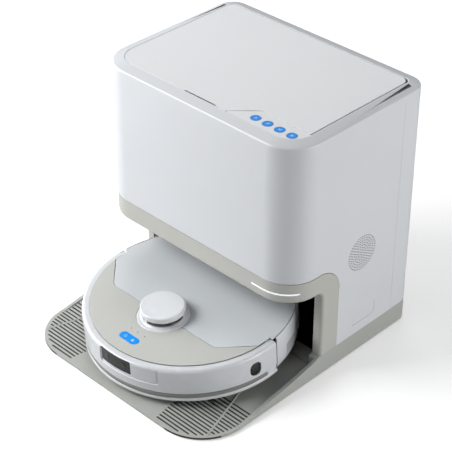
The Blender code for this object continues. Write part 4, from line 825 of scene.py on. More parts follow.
def hatch_outline(grow):
    low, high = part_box("side_hatch")
    y0, y1, z0, z1 = low.y - FRONT - grow, high.y - FRONT + grow, low.z - grow, high.z + grow
    return filleted([(y0, z0, 0), (y1, z0, 0.008), (y1, z1, 0), (y0, z1, 0.008)], 8)


def side_fittings(sizes):
    """Perforated vent and service hatch in the right wall."""
    holes, ring_gap = [circle(0, 0, sizes.vent_hole, 10)], (VENT_RADIUS - 0.0022) / sizes.vent_rings
    for ring in range(1, sizes.vent_rings + 1):
        count = 6 * ring
        for i in range(count):
            a = 2 * math.pi * i / count
            holes.append(circle(ring * ring_gap * math.cos(a), ring * ring_gap * math.sin(a), sizes.vent_hole, 10))
    disc = outline_mesh([circle(0, 0, VENT_RADIUS, 64), *holes], -0.0004, 0.0004)
    disc.transform(Matrix.Translation((HALF - 0.0006, VENT_Y, VENT_Z)) @ Matrix.Rotation(math.pi / 2, 4, "Y"))
    piece("vent_disc", disc, STATION, "station", "abs_satin_moulded_shell", "vent_grille")
    # A black disc just behind the holes: painted shade inside the vent.
    backing = spun([(0, 0.0012), (VENT_RADIUS - 0.0002, 0.0012), (VENT_RADIUS - 0.0002, 0.0), (0, 0.0)], 48,
            closed=False)
    backing.transform(Matrix.Translation((HALF - WALL + 0.0001, VENT_Y, VENT_Z)) @ Matrix.Rotation(math.pi / 2, 4, "Y"))
    piece("vent_shade_backing", backing, STATION, "station", "abs_black_eroded_lining")
    hatch = sideways(hatch_outline(0.0), HALF - WALL, HALF - 0.0001)
    piece("hatch_cover", hatch, STATION, "station", "abs_satin_moulded_shell", "side_hatch", edge=0.0004)


def rear_skin(sizes):
    """The rear cover with its exhaust slots and the opening for the mains inlet."""
    mesh = outline_mesh([cabinet_outline(), cabinet_outline(WALL)], PLINTH + GAP, RIM_LOW - 0.00003)
    low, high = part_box("power_inlet")
    hole = ((low.x - GAP, DEPTH - 0.02, low.z - GAP), (high.x + GAP, DEPTH + 0.01, high.z + GAP))
    slots = [((x - 0.0015, DEPTH - 0.02, 0.075), (x + 0.0015, DEPTH + 0.01,
            0.115)) for x in (-0.16 + 0.010 * i for i in range(9))]
    ahead = ((-HALF - 0.01, -0.01, 0), (HALF + 0.01, REAR_SEAM + SEAM, HEIGHT + 0.01))
    mesh = carved(mesh, [block_mesh([ahead]), block_mesh([hole, *slots])])
    piece("rear_skin", mesh, STATION, "station", "abs_satin_moulded_shell", "rear_cover",
          edge=sizes.edge_round * 0.7, segments=2)
    dressed("power_inlet", "abs_black_eroded_lining", edge=0.0006)
    blades = []
    centre = (low + high) / 2
    for dx in (-0.0042, 0.0042):
        blades.append(((centre.x + dx - 0.0006, high.y - 0.015 - FRONT, centre.z - 0.0022),
                       (centre.x + dx + 0.0006, high.y - 0.004 - FRONT, centre.z + 0.0022)))
    piece("inlet_blades", block_mesh(blades), STATION, "station", "steel_nickel_plated",
          edge=0.0003, segments=2)


def top_frame(sizes):
    """Frame round the top: a sloped strip outside, a ledge for lid and panel inside."""
    edge, rise = 0.0028, RIM_DROP / RIM_SLOPE
    outer = HEIGHT - RIM_DROP
    rounds = [(edge - edge * math.cos(a), outer - edge + edge * math.sin(a) + rise * (edge - edge * math.cos(a)))
              for a in (math.pi / 2 * i / 7 for i in range(8))]
    ledge = HEIGHT - LID_THICK - GAP - 0.0004
    section = [(0.0, RIM_LOW), *rounds, (RIM_SLOPE - 0.0010, HEIGHT - 0.0003), (RIM_SLOPE, HEIGHT - 0.00004),
               (OPENING - 0.0003, HEIGHT - 0.00004), (OPENING, HEIGHT - 0.0003), (OPENING, ledge),
               (OPENING + LEDGE, ledge), (OPENING + LEDGE, RIM_LOW)]
    mesh = ringed([(cabinet_outline(inset), z) for inset, z in section])
    side, back, turn = HALF - OPENING, DEPTH - OPENING, REAR_CORNER - OPENING
    swing = outline_mesh([filleted([(-side, back - SWING_ROOM, 0), (side, back - SWING_ROOM, 0), (side, back, turn),
                                    (-side, back, turn)])], 0, ledge + 0.001)
    pin_y, pin_z = joint("lid_hinge")["pos_m"][1] - FRONT, joint("lid_hinge")["pos_m"][2]
    bores = outline_mesh([circle(0, 0, 0.0016, 20)], -HALF + 0.015, HALF - 0.015)
    bores.transform(Matrix.Translation((0, pin_y, pin_z)) @ Matrix.Rotation(math.pi / 2, 4, "Y"))
    piece("top_frame", carved(mesh, [swing, bores]), STATION, "station", "abs_satin_moulded_shell", "top_rim",
          sharp=24)


def lid_outline(sizes):
    """The lid from above: its front right corner gives way to the control panel."""
    e, side = OPENING + SEAM, OPENING + sizes.lid_gap
    step = PANEL_BACK - OPENING
    left = PANEL_LEFT - SEAM * 1.0
    back = DEPTH - OPENING - 0.0010
    x, n = HALF - e, NOTCH_HALF
    return filleted([(-x, e, FRONT_CORNER - e), (-n - 0.003, e, 0.0008), (-n - 0.0005, e + NOTCH_DEPTH, 0.0008),
                     (n + 0.0005, e + NOTCH_DEPTH, 0.0008), (n + 0.003, e, 0.0008), (left + 0.0002, e, 0.0012),
                     (left + step, PANEL_BACK + SEAM, 0.010), (HALF - side, PANEL_BACK + SEAM, 0.0020),
                     (HALF - side, back, 0.0150), (-x, back, REAR_CORNER - e)], 10)


def lid_and_panel(sizes):
    lid = outline_mesh([lid_outline(sizes)], HEIGHT - LID_THICK, HEIGHT - 0.00005)
    pin_y, pin_z = joint("lid_hinge")["pos_m"][1] - FRONT, joint("lid_hinge")["pos_m"][2]
    pins = []
    for sign in (-1, 1):
        pin = outline_mesh([circle(0, 0, 0.0012, 20)], min(sign * 0.184, sign * (HALF - 0.016)),
                max(sign * 0.184, sign * (HALF - 0.016)))
        pin.transform(Matrix.Translation((0, pin_y, pin_z)) @ Matrix.Rotation(math.pi / 2, 4, "Y"))
        pins.append(pin)
    piece("lid_panel", lid, STATION, "lid", "abs_smooth_moulded_lid", "lid", edge=sizes.edge_round)
    piece("lid_pins", together(pins), STATION, "lid", "steel_nickel_plated", edge=0.0003, segments=2)
    rib = ringed([(rectangle(-0.155 + k, 0.075 + k, 0.155 - k, 0.250 - k, 0.02), z) for k, z in
                  ((0.0, HEIGHT - LID_THICK + 0.0002), (0.0, HEIGHT - LID_THICK - 0.0016),
                   (0.0022, HEIGHT - LID_THICK - 0.0016),
                   (0.0022, HEIGHT - LID_THICK + 0.0002))])
    # Black strips lie on the ledge at both sides, and the right one shows in the gap beside the lid as painted shade.
    run, top = HALF - OPENING - 0.0002, HEIGHT - LID_THICK - GAP - 0.0004
    gap_strips = block_mesh([((run - 0.0030, PANEL_BACK + 0.004, top), (run, DEPTH - 0.060, top + 0.0005)),
                       ((-run, FRONT_CORNER, top), (-run + 0.0030, DEPTH - 0.060, top + 0.0005))])
    piece("lid_gap_shade_strips", gap_strips, STATION, "station", "nitrile_rubber_moulded_black", edge=0.0002,
          segments=2)
    piece("lid_gasket", rib, STATION, "lid", "tpe_grey_overmoulded_strip", sharp=50)

    e = OPENING + SEAM
    step, x = PANEL_BACK - OPENING, HALF - OPENING - SEAM
    corner = FRONT_CORNER - OPENING - SEAM
    shape = filleted([(PANEL_LEFT + SEAM, e, 0.0010), (x, e, corner * 0.98), (x, PANEL_BACK, 0.0008),
                      (PANEL_LEFT + step + SEAM, PANEL_BACK, 0.0105)], 14)
    keyway = (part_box(KEYS[0])[1].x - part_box(KEYS[0])[0].x) / 2 + GAP
    holes = [circle(c.x, c.y - FRONT, keyway, 40) for c in map(middle, KEYS)]
    plate = outline_mesh([shape, *holes], HEIGHT - LID_THICK, HEIGHT - 0.0004)
    piece("control_plate", plate, STATION, "station", "abs_smooth_moulded_lid", "control_panel",
          edge=0.0003, segments=2)


def middle(name):
    low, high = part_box(name)
    return (low + high) / 2


# ---------------------------------------------------------------- keys and their signs
KEYS = ("wash_button", "empty_button", "play_button", "home_button")


def ring_loop(radius, thick, start, end, cx=0.0, cy=0.0):
    """A curved bar, as one closed loop."""
    return arc(cx, cy, radius + thick / 2, start, end, 16) + arc(cx, cy, radius - thick / 2, end, start, 16)


def bar_loop(x0, y0, x1, y1, thick):
    """A straight bar, as one closed loop."""
    way = Vector((x1 - x0, y1 - y0)).normalized() * thick / 2
    n = Vector((-way.y, way.x))
    return [(x0 - way.x + n.x, y0 - way.y + n.y), (x0 - way.x - n.x, y0 - way.y - n.y),
            (x1 + way.x - n.x, y1 + way.y - n.y), (x1 + way.x + n.x, y1 + way.y + n.y)]


def sign_shapes(name):
    """Plain signs, about 6 mm across: each is a list of closed loops, or of (loop, hole) pairs."""
    if name == "drop":
        tip = [(0, 0.0034)] + arc(0, -0.0006, 0.0021, math.radians(30), math.radians(-210), 18)
        inner = [(0, 0.0021)] + arc(0, -0.0006, 0.0013, math.radians(30), math.radians(-210), 18)
        return [(tip, inner)]
    if name == "dust":
        return [ring_loop(0.0028, 0.0008, math.radians(20), math.radians(250)),
                ring_loop(0.0013, 0.0008, math.radians(-160), math.radians(80))]
    if name == "play":
        return [[(-0.0026, -0.0024), (0.0008, 0.0), (-0.0026, 0.0024)],
                bar_loop(0.0019, -0.0018, 0.0019, 0.0018, 0.0010)]
    if name == "home":
        roof = [(-0.0032, -0.0001), (0, 0.0030), (0.0032, -0.0001), (0.0024, -0.0007), (0, 0.0016), (-0.0024, -0.0007)]
        return [roof, [(-0.0020, -0.0012), (0, 0.0007), (0.0020, -0.0012), (0.0020, -0.0028), (-0.0020, -0.0028)]]
    return [ring_loop(0.0023, 0.0008, math.radians(125), math.radians(415)), bar_loop(0, 0.0010, 0, 0.0030, 0.0007)]


def sign_mesh(name, scale=1.0, thick=0.00012):
    loops = []
    for shape in sign_shapes(name):
        pair = shape if isinstance(shape, tuple) else (shape,)
        loops.append(outline_mesh([[(x * scale, y * scale) for x, y in loop] for loop in pair], 0.0, thick))
    return together(loops)


def key_mesh(radius, depth):
    """A round key with a soft edge and a faint dish for the fingertip."""
    dish = [(radius * t, -0.00018 * (1 - t * t)) for t in (0.0, 0.25, 0.5, 0.75)]
    edge = [(radius - 0.0009 + 0.0009 * math.sin(a),
            -0.0009 + 0.0009 * math.cos(a)) for a in (math.pi / 2 * i / 5 for i in range(6))]
    return spun(dish + edge + [(radius, -depth), (0, -depth)], 48, closed=False)


def panel_keys():
    for name, sign in zip(KEYS, ("drop", "dust", "play", "home")):
        low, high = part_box(name)
        centre = Vector(((low.x + high.x) / 2, (low.y + high.y) / 2, high.z))
        radius = (high.x - low.x) / 2
        spot = Matrix.Translation(centre)
        stem = name.replace("_button", "")
        piece(stem + "_key", key_mesh(radius, high.z - low.z), spot, name, "acrylic_blue_backlit_key", name,
              sharp=50)
        mark = sign_mesh(sign, 0.8)
        mark.transform(Matrix.Translation((0, 0, -0.00014)))
        piece(stem + "_sign", mark, spot, name, "ink_white_screen_printed")


# ---------------------------------------------------------------- inside the station
def tank_details():
    for side, tank, cap in (("clean", "clean_water_tank", "clean_water_cap"),
            ("dirty", "dirty_water_tank", "dirty_water_cap")):
        dressed(tank, "san_clear_moulded_tank", edge=0.0008)
        dressed(cap, "nylon_grey_moulded_fittings" if side == "dirty" else "abs_satin_moulded_shell", edge=0.0006)
        low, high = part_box(cap)
        knob = spun([(0, 0.0016), (0.0085, 0.0016), (0.0095, 0.0008), (0.0095, -0.0005), (0, -0.0005)], 40,
                closed=False)
        # The clean plug takes the blue key finish, whose emission gives it a faint painted glow though no lamp sits
        # behind it.
        piece(side + "_filler_plug", knob, STATION @ Matrix.Translation(((low.x + high.x) / 2, low.y - FRONT + 0.024,
                high.z)), "station",
              "acrylic_blue_backlit_key" if side == "clean" else "nylon_grey_moulded_fittings",
              edge=0.0003, segments=2)


def dust_bag_details():
    """A fleece bag, crowned between welded seams, on a pressed card collar."""
    low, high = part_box("dust_bag")
    centre, half = (low + high) / 2, (high - low) / 2
    bm = bmesh.new()
    bmesh.ops.create_cube(bm, size=2)
    bmesh.ops.subdivide_edges(bm, edges=bm.edges, cuts=22, use_grid_fill=True)
    for v in bm.verts:
        x, y, z = v.co
        round_x = x * math.sqrt(max(0.0, 1 - 0.18 * y ** 4 - 0.22 * z ** 6))
        round_y = y * math.sqrt(max(0.0, 1 - 0.34 * x ** 4 - 0.18 * z ** 6))
        round_z = z * math.sqrt(max(0.0, 1 - 0.22 * x ** 4 - 0.10 * y ** 4))
        fold = noise.noise(Vector((x * 1.7, y * 1.7, z * 2.6))) + 0.5 * noise.noise(Vector((x * 4.1, y * 4.1, z * 5.0)))
        shrink = 0.955 - 0.035 * abs(fold)
        v.co = (centre.x + half.x * round_x * shrink, centre.y - FRONT + half.y * round_y * shrink,
                centre.z + half.z * round_z * shrink)
    bmesh.ops.recalc_face_normals(bm, faces=bm.faces)
    mesh = bpy.data.meshes.new("dust_bag")
    bm.to_mesh(mesh)
    bm.free()
    bag = piece("fleece_bag", mesh, STATION, "station", "polypropylene_spun_fleece", "dust_bag",
            sharp=80)
    soft = bag.modifiers.new("soft", "SUBSURF")
    soft.levels = soft.render_levels = 1
    x, y = centre.x, centre.y - FRONT
    collar = outline_mesh([rectangle(x - 0.034, y - 0.036, x + 0.034, y + 0.036, 0.006), circle(x, y, 0.019, 40)],
            low.z - 0.0024, low.z + 0.0006)
    piece("bag_collar", collar, STATION, "station", "board_grey_pressed_collar", edge=0.0003,
          segments=2)
    seam = ringed([(rectangle(x - half.x * 0.93 + k, y - half.y * 0.90 + k, x + half.x * 0.93 - k,
            y + half.y * 0.90 - k, 0.012), z) for k, z in
                   ((0.0, high.z - 0.014), (0.0, high.z - 0.0125), (0.0012, high.z - 0.0125),
                    (0.0012, high.z - 0.014))])
    piece("bag_weld", seam, STATION, "station", "polypropylene_spun_fleece")


def station_inside():
    for name in ("foot_front_left", "foot_front_right", "foot_rear_left", "foot_rear_right"):
        dressed(name, "nitrile_rubber_moulded_black", edge=0.0004)
    dressed("niche_liner", "abs_black_eroded_lining")
    dressed("wash_tray", "abs_black_eroded_lining", edge=0.0004)
    dressed("charge_contact_left", "brass_gold_plated_contact", edge=0.0003)
    dressed("charge_contact_right", "brass_gold_plated_contact", edge=0.0003)
    dressed("suction_motor", "abs_black_eroded_lining", edge=0.0006)
    dressed("drying_fan", "abs_black_eroded_lining", edge=0.0003)
    tank_details()
    dust_bag_details()


# ---------------------------------------------------------------- robot outlines
def polar(radius, angle):
    return radius * math.cos(angle), radius * math.sin(angle)


def cover_outline(gap=0.0, steps=72):
    """Top cover: straight front edge, swept wings, round rear edge."""
    tip = polar(DECK_RADIUS, COVER_TIP)
    wing = [(-tip[0], tip[1], 0), (-COVER_KNEE, COVER_FRONT + gap, COVER_BEND),
            (COVER_KNEE, COVER_FRONT + gap, COVER_BEND), (tip[0], tip[1] + gap, 0)]
    front = filleted(wing, 12)
    inner = DECK_RADIUS - gap
    shoulder = math.asin((BUMPER_END - 0.0005) / COVER_RADIUS)
    right = arc(0, 0, inner, COVER_TIP + 0.01, shoulder, 4)
    rear = arc(0, 0, COVER_RADIUS, shoulder, math.pi - shoulder, steps)
    left = arc(0, 0, inner, math.pi - shoulder, math.pi - COVER_TIP - 0.01, 4)
    return front[1:-1] + [(tip[0] - gap, tip[1] + gap)] + right + rear + left + [(-tip[0] + gap, tip[1] + gap)]


def deck_outline(steps=72):
    """Front deck: the rest of the top, inside the bumper's rim."""
    tip = polar(DECK_RADIUS, COVER_TIP)
    wing = [(tip[0], tip[1], 0), (COVER_KNEE, COVER_FRONT, COVER_BEND), (-COVER_KNEE, COVER_FRONT, COVER_BEND),
            (-tip[0], tip[1], 0)]
    front = arc(0, 0, DECK_RADIUS, math.pi - COVER_TIP, 2 * math.pi + COVER_TIP, steps)
    return front[1:-1] + filleted(wing, 12)


def wall_angle(x, radius=SKIN):
    """Angle on the bumper's front wall that lies x to the side of the robot's middle."""
    return -math.pi / 2 + math.asin(x / radius)


# ---------------------------------------------------------------- robot pieces
def bumper_skin(robot):
    top = DECK_Z - COVER_THICK - GAP
    inner, r = SKIN - BUMPER_WALL, robot.shoulder
    shoulder = arc(SKIN - r, top - r, r, math.pi / 2, 0, 10)
    profile = [(DECK_RADIUS - 0.0060, top - 0.0016), (DECK_RADIUS - 0.0060, top), *shoulder,
               (SKIN + 0.00012, 0.040), (SKIN, STRIP_TOP + 0.0008), (SKIN - 0.0006, STRIP_TOP),
               (SKIN - 0.0018, STRIP_TOP - 0.0001),
               (SKIN - 0.0018, STRIP_LOW + 0.0001), (SKIN - 0.0006, STRIP_LOW), (SKIN + 0.0002, STRIP_LOW - 0.0009),
               (LIP, STRIP_LOW - 0.0020), (LIP, 0.0012), (LIP - 0.0003, 0.0004), (LIP - 0.0010, 0.0), (inner, 0.0),
               (inner, top - 0.0045), (inner - 0.0030, top - 0.0016)]
    tail = math.asin(BUMPER_END / SKIN)
    mesh = spun(profile, robot.facets * 5 // 8, math.pi - tail, math.pi + 2 * tail)
    square = block_mesh([((-0.2, BUMPER_END, -0.05), (0.2, 0.2, 0.1))])
    shoulders = block_mesh([((0.10, BUMPER_END - 0.0085, top - 0.0014), (SKIN - 0.0040, BUMPER_END + 0.01, top + 0.01)),
                            ((-SKIN + 0.0040, BUMPER_END - 0.0085, top - 0.0014),
                             (-0.10, BUMPER_END + 0.01, top + 0.01))])
    window = block_mesh([((WINDOW_LEFT - GAP, -0.2, WINDOW_LOW - GAP), (WINDOW_RIGHT + GAP, -0.15, WINDOW_TOP + GAP))])
    eye = sensor_slab(GAP, 0.150, 0.190)
    # A shallow recess holds the window and the pale infrared lens beside it.
    well = wrapped_panel(WINDOW_LEFT - 0.0030, 0.0835, WINDOW_LOW - 0.0050, WINDOW_TOP + 0.0012, 0.0045, SKIN - 0.0012,
            SKIN + 0.004)
    mesh = carved(mesh, [square, shoulders, well, window, eye])
    piece("bumper_skin", mesh, ROBOT, "bumper", "pc_abs_gloss_coated_skin", "bumper", edge=0.00035,
          segments=2)


def wrapped_panel(x0, x1, z0, z1, corner, near, far, steps=36):
    """A rounded panel bent round the robot's front, between two radii."""
    a0, a1 = wall_angle(x0), wall_angle(x1)
    length = (a1 - a0) * SKIN
    outline = rectangle(0, z0, length, z1, corner, 6)
    columns = sorted({round(x, 6) for x, _ in outline} | {length * i / steps for i in range(steps + 1)})

    def ends(x):
        if x <= corner:
            drop = corner - math.sqrt(max(0.0, corner ** 2 - (corner - x) ** 2))
        elif x >= length - corner:
            drop = corner - math.sqrt(max(0.0, corner ** 2 - (corner - (length - x)) ** 2))
        else:
            drop = 0.0
        return z0 + drop, z1 - drop

    bm = bmesh.new()
    sections = []
    for x in columns:
        low, high = ends(x)
        if high - low < 1e-5:
            continue
        a = a0 + x / SKIN
        sections.append([bm.verts.new((*polar(r, a), z)) for r,
                z in ((near, low), (far, low), (far, high), (near, high))])
    for a, b in zip(sections, sections[1:]):
        for i in range(4):
            j = (i + 1) % 4
            bm.faces.new((a[i], a[j], b[j], b[i]))
    bm.faces.new(sections[0])
    bm.faces.new(sections[-1])
    bmesh.ops.recalc_face_normals(bm, faces=bm.faces)
    mesh = bpy.data.meshes.new("panel")
    bm.to_mesh(mesh)
    bm.free()
    return mesh


def sensor_slab(grow, near, far):
    """The upright oval in the bumper's right side, drawn along the radius it looks out on."""
    mesh = outline_mesh([pill(SENSOR_HEIGHT + 2 * grow, SENSOR_WIDTH + 2 * grow)], near, far)
    mesh.transform(Matrix.Translation((0, 0, SENSOR_Z)) @ Matrix.Rotation(SENSOR_ANGLE, 4, "Z")
                   @ Matrix.Rotation(math.pi / 2, 4, "Y"))
    return mesh


def bumper_fittings(robot):
    steps = robot.facets // 2
    low, high = STRIP_LOW + 0.0007, STRIP_TOP - 0.0007
    side = math.radians(-3.2)
    profile = [(SKIN - 0.0018 + GAP, high), (SKIN - 0.0006, high), (SKIN + 0.0001, high - 0.0008),
            (SKIN + 0.0003, high - 0.0022),
               (SKIN + 0.0003, low + 0.0022), (SKIN + 0.0001, low + 0.0008), (SKIN - 0.0006, low),
               (SKIN - 0.0018 + GAP, low)]
    strip = spun(profile, steps, math.pi - side, math.pi + 2 * side)
    piece("bumper_band", strip, ROBOT, "bumper", "tpe_grey_overmoulded_strip", "bumper_strip",
          edge=0.0006)
    inset = WINDOW_LEFT
    lens = wrapped_panel(inset, WINDOW_RIGHT, WINDOW_LOW, WINDOW_TOP, 0.0012, SKIN - BUMPER_WALL, SKIN - 0.0015)
    piece("window_lens", lens, ROBOT, "bumper", "polycarbonate_smoked_polished", "front_window",
          edge=0.0003, segments=2)
    barrels = []
    for x in (WINDOW_LEFT + 0.012, WINDOW_RIGHT - 0.014):
        barrel = spun([(0, 0.0004), (0.0042, 0.0006), (0.0052, 0.0006), (0.0052, 0.0), (0, 0.0)], 32, closed=False)
        a = wall_angle(x)
        barrel.transform(Matrix.Translation((*polar(SKIN - 0.00158, a),
                (WINDOW_LOW + WINDOW_TOP) / 2)) @ Matrix.Rotation(a, 4, "Z")
                         @ Matrix.Rotation(math.pi / 2, 4, "Y"))
        barrels.append(barrel)
    piece("window_barrels", together(barrels), ROBOT, "bumper", "glass_dark_polished_lens")
    pale = wrapped_panel(0.0425, 0.0805, WINDOW_LOW - 0.0022, WINDOW_TOP - 0.0010, 0.0035, SKIN - 0.0016, SKIN - 0.0006)
    piece("infrared_lens", pale, ROBOT, "bumper", "pc_abs_gloss_coated_skin", edge=0.0004)
    eye = sensor_slab(0.0, SKIN - BUMPER_WALL - 0.002, SKIN - 0.0014)
    piece("side_eye", eye, ROBOT, "bumper", "polycarbonate_smoked_polished", "side_sensor",
          edge=0.0006)
    dome = [(0.0066 * math.sin(a), 0.0011 * math.cos(a)) for a in (math.pi / 2 * i / 8 for i in range(9))]
    lens = spun(dome + [(0.0066, -0.0006), (0, -0.0006)], 36, closed=False)
    lens.transform(Matrix.Translation((*polar(SKIN - 0.0014, SENSOR_ANGLE),
            SENSOR_Z + 0.0035)) @ Matrix.Rotation(SENSOR_ANGLE, 4, "Z")
                   @ Matrix.Rotation(math.pi / 2, 4, "Y"))
    piece("side_eye_lens", lens, ROBOT, "bumper", "glass_dark_polished_lens")


def body_wall(robot):
    """The rear side wall, with its circumferential air slots."""
    inner, outer, top = BODY_RADIUS - BODY_WALL, BODY_RADIUS, DECK_Z
    ahead = BUMPER_END + BUMPER_TRAVEL + 0.0015
    start = math.asin(ahead / outer)
    profile = [(inner, top - 0.0010), (inner + 0.0008, top - 0.0001), (outer - 0.0014, top - 0.0003),
            (outer - 0.0005, top - 0.0011),
               (outer, top - 0.0027), (outer, 0.018), (outer - 0.0004, 0.012), (outer - 0.0014, 0.004),
               (outer - 0.0024, 0.0005),
               (inner - 0.0005, 0.0005), (inner - 0.0005, 0.004), (inner, 0.016)]
    mesh = spun(profile, robot.facets // 2, start - 0.01, math.pi - 2 * start + 0.02)
    square = block_mesh([((-0.2, -0.2, -0.05), (0.2, ahead, 0.1))])
    slots = []
    for level in range(4):
        z = 0.0085 + 0.0058 * level
        for middle_angle in (math.radians(22), math.pi - math.radians(22)):
            half = 0.023 / outer
            slots.append(spun([(outer - 0.009, z + 0.0028), (outer + 0.004, z + 0.0028), (outer + 0.004, z),
                    (outer - 0.009, z)], 12,
                              middle_angle - half, 2 * half))
    mesh = carved(mesh, [square, *slots])
    piece("body_wall", mesh, ROBOT, "robot", "pc_abs_gloss_coated_skin", "side_body", edge=0.00025,
          segments=2)
    for side, middle_angle in (("right", math.radians(22)), ("left", math.pi - math.radians(22))):
        half = 0.025 / outer
        shade = spun([(inner - 0.0007, 0.034), (inner - 0.0002, 0.034), (inner - 0.0002, 0.0075),
                (inner - 0.0007, 0.0075)], 10,
                     middle_angle - half, 2 * half)
        piece("vent_shade_" + side, shade, ROBOT, "robot", "abs_black_eroded_lining")


def deck_and_cover(robot):
    low = DECK_Z - COVER_THICK
    lidar = circle(0, LIDAR_Y, LIDAR_SKIRT + SEAM, 72)
    slot = pill(PILL_LENGTH + 2 * GAP, PILL_WIDTH + 2 * GAP, 0, PILL_Y)
    dots = [circle(x, -0.1152, 0.0010, 16) for x in (-0.0145, 0.0, 0.015)]
    deck = outline_mesh([deck_outline(), slot, *dots], low, DECK_Z)
    deck = carved(deck, [outline_mesh([lidar], 0, 0.1)])
    piece("deck_skin", deck, ROBOT, "robot", "pc_abs_matt_sprayed_deck", "deck_panel",
          edge=robot.cover_edge, segments=2)
    under = spun([(0.0, low - 0.0004), (0.0185, low - 0.0004), (0.0185, low - 0.0010), (0, low - 0.0010)], 24,
            closed=False)
    # A thin black ring under the deck's edge: a painted shadow line along the seam between deck and bumper.
    line = spun([(DECK_RADIUS - 0.0030, low - GAP / 2), (DECK_RADIUS + 0.0003, low - GAP / 2),
            (DECK_RADIUS + 0.0003, low + 0.0006),
                 (DECK_RADIUS - 0.0003, low + 0.0006), (DECK_RADIUS - 0.0003, low - 0.00005),
                 (DECK_RADIUS - 0.0030, low - 0.00005)],
                robot.facets * 5 // 8, math.pi, math.pi)
    piece("deck_shadow_ring", line, ROBOT, "robot", "nitrile_rubber_moulded_black")
    piece("indicator_tray", moved(under, (0, -0.1152, 0)), ROBOT, "robot", "abs_black_eroded_lining")
    cover = carved(outline_mesh([cover_outline(2 * SEAM)], low, DECK_Z), [outline_mesh([lidar], 0, 0.1)])
    piece("cover_skin", cover, ROBOT, "top_cover", "pc_abs_pearl_sprayed_cover", "top_cover",
          edge=robot.cover_edge,
          segments=2)
    button = outline_mesh([pill(PILL_LENGTH, PILL_WIDTH)], -0.0024, 0.0)
    spot = ROBOT @ Matrix.Translation((0, PILL_Y, DECK_Z + 0.0003))
    piece("start_pill", button, spot, "start_button", "acrylic_blue_backlit_key", "start_button",
          edge=0.0008)
    for name, sign, x in (("power", "power", -0.0082), ("dock", "home", 0.0082)):
        mark = moved(sign_mesh(sign, 0.95), (x, -0.0005, -0.00004))
        piece(name + "_sign", mark, spot, "start_button", "ink_white_screen_printed")


def turret(robot):
    at = ROBOT @ Matrix.Translation((0, LIDAR_Y, 0))
    steps = robot.facets * 3 // 5
    low = DECK_Z - COVER_THICK - 0.0040
    skirt = spun([(LIDAR_ROTOR + 0.0015, LIDAR_WINDOW_LOW - 0.0012), (LIDAR_CAP - 0.0019, LIDAR_WINDOW_LOW - 0.0012),
                  (LIDAR_CAP - 0.0012, LIDAR_WINDOW_LOW - 0.0016), (LIDAR_CAP + 0.0006, DECK_Z + 0.0012),
                  (LIDAR_CAP + 0.0018, DECK_Z + 0.0006),
                  (LIDAR_SKIRT - 0.0012, DECK_Z + 0.0005), (LIDAR_SKIRT - 0.0004, DECK_Z + 0.0002),
                  (LIDAR_SKIRT, DECK_Z - 0.0006), (LIDAR_SKIRT, low), (LIDAR_ROTOR + 0.0015, low)], steps)
    piece("turret_skirt", skirt, at, "robot", "pc_abs_gloss_coated_skin", "lidar_skirt", sharp=55)
    rotor = spun([(0, LIDAR_WINDOW_TOP - 0.0022), (LIDAR_ROTOR - 0.0004, LIDAR_WINDOW_TOP - 0.0022),
            (LIDAR_ROTOR, LIDAR_WINDOW_TOP - 0.0026),
                  (LIDAR_ROTOR, LIDAR_WINDOW_LOW - 0.0080), (0.012, LIDAR_WINDOW_LOW - 0.0080), (0.012, 0.046),
                  (0, 0.046)],
                 steps, closed=False)
    rotor = carved(rotor, [block_mesh([((-0.006, -0.04, LIDAR_WINDOW_LOW - 0.0030), (0.006, -0.018, 0.0698))])])
    piece("turret_rotor", rotor, at, "lidar_rotor", "polycarbonate_smoked_polished", "lidar_rotor")
    eyes = []
    for x in (-0.003, 0.003):
        eye = spun([(0, 0.0006), (0.0012, 0.0004), (0.0016, 0.0), (0, 0.0)], 20, closed=False)
        eye.transform(Matrix.Translation((x, -0.0180, 0.0667)) @ Matrix.Rotation(math.pi / 2, 4, "X"))
        eyes.append(eye)
    piece("range_finder_eyes", together(eyes), at, "lidar_rotor", "glass_dark_polished_lens")
    top, r = LIDAR_TOP, LIDAR_CAP
    over = [(0, top), (0.020, top - 0.0001), (r - 0.0036, top - 0.0003)]
    over += [(r - 0.0028 + 0.0028 * math.sin(a),
            top - 0.0031 + 0.0028 * math.cos(a)) for a in (math.pi / 2 * i / 8 for i in range(9))]
    cap = spun(over + [(r, LIDAR_WINDOW_TOP + 0.0008), (r - 0.0008, LIDAR_WINDOW_TOP + 0.0002),
            (r - 0.0016, LIDAR_WINDOW_TOP),
                       (0, LIDAR_WINDOW_TOP)], steps, closed=False)
    band = spun([(r - 0.0026, LIDAR_WINDOW_TOP + 0.0002), (r - 0.0023, LIDAR_WINDOW_TOP + 0.0002),
            (r - 0.0023, LIDAR_WINDOW_LOW - 0.0010 + CAP_TRAVEL),
                 (r - 0.0026, LIDAR_WINDOW_LOW - 0.0010 + CAP_TRAVEL)], steps)
    piece("turret_window", band, at, "lidar_cap", "polycarbonate_smoked_polished")
    posts = []
    for angle in (-95, 25, 145):
        post = block_mesh([((LIDAR_ROTOR + 0.0012, -0.0028, LIDAR_WINDOW_LOW - 0.0010 + CAP_TRAVEL),
                (r - 0.0012, 0.0028, LIDAR_WINDOW_TOP + 0.001))])
        posts.append(moved(post, turn=math.radians(angle)))
    cap = carved(cap, posts, "UNION")
    piece("turret_cap", cap, at, "lidar_cap", "pc_abs_gloss_coated_skin", "lidar_cap", sharp=50)


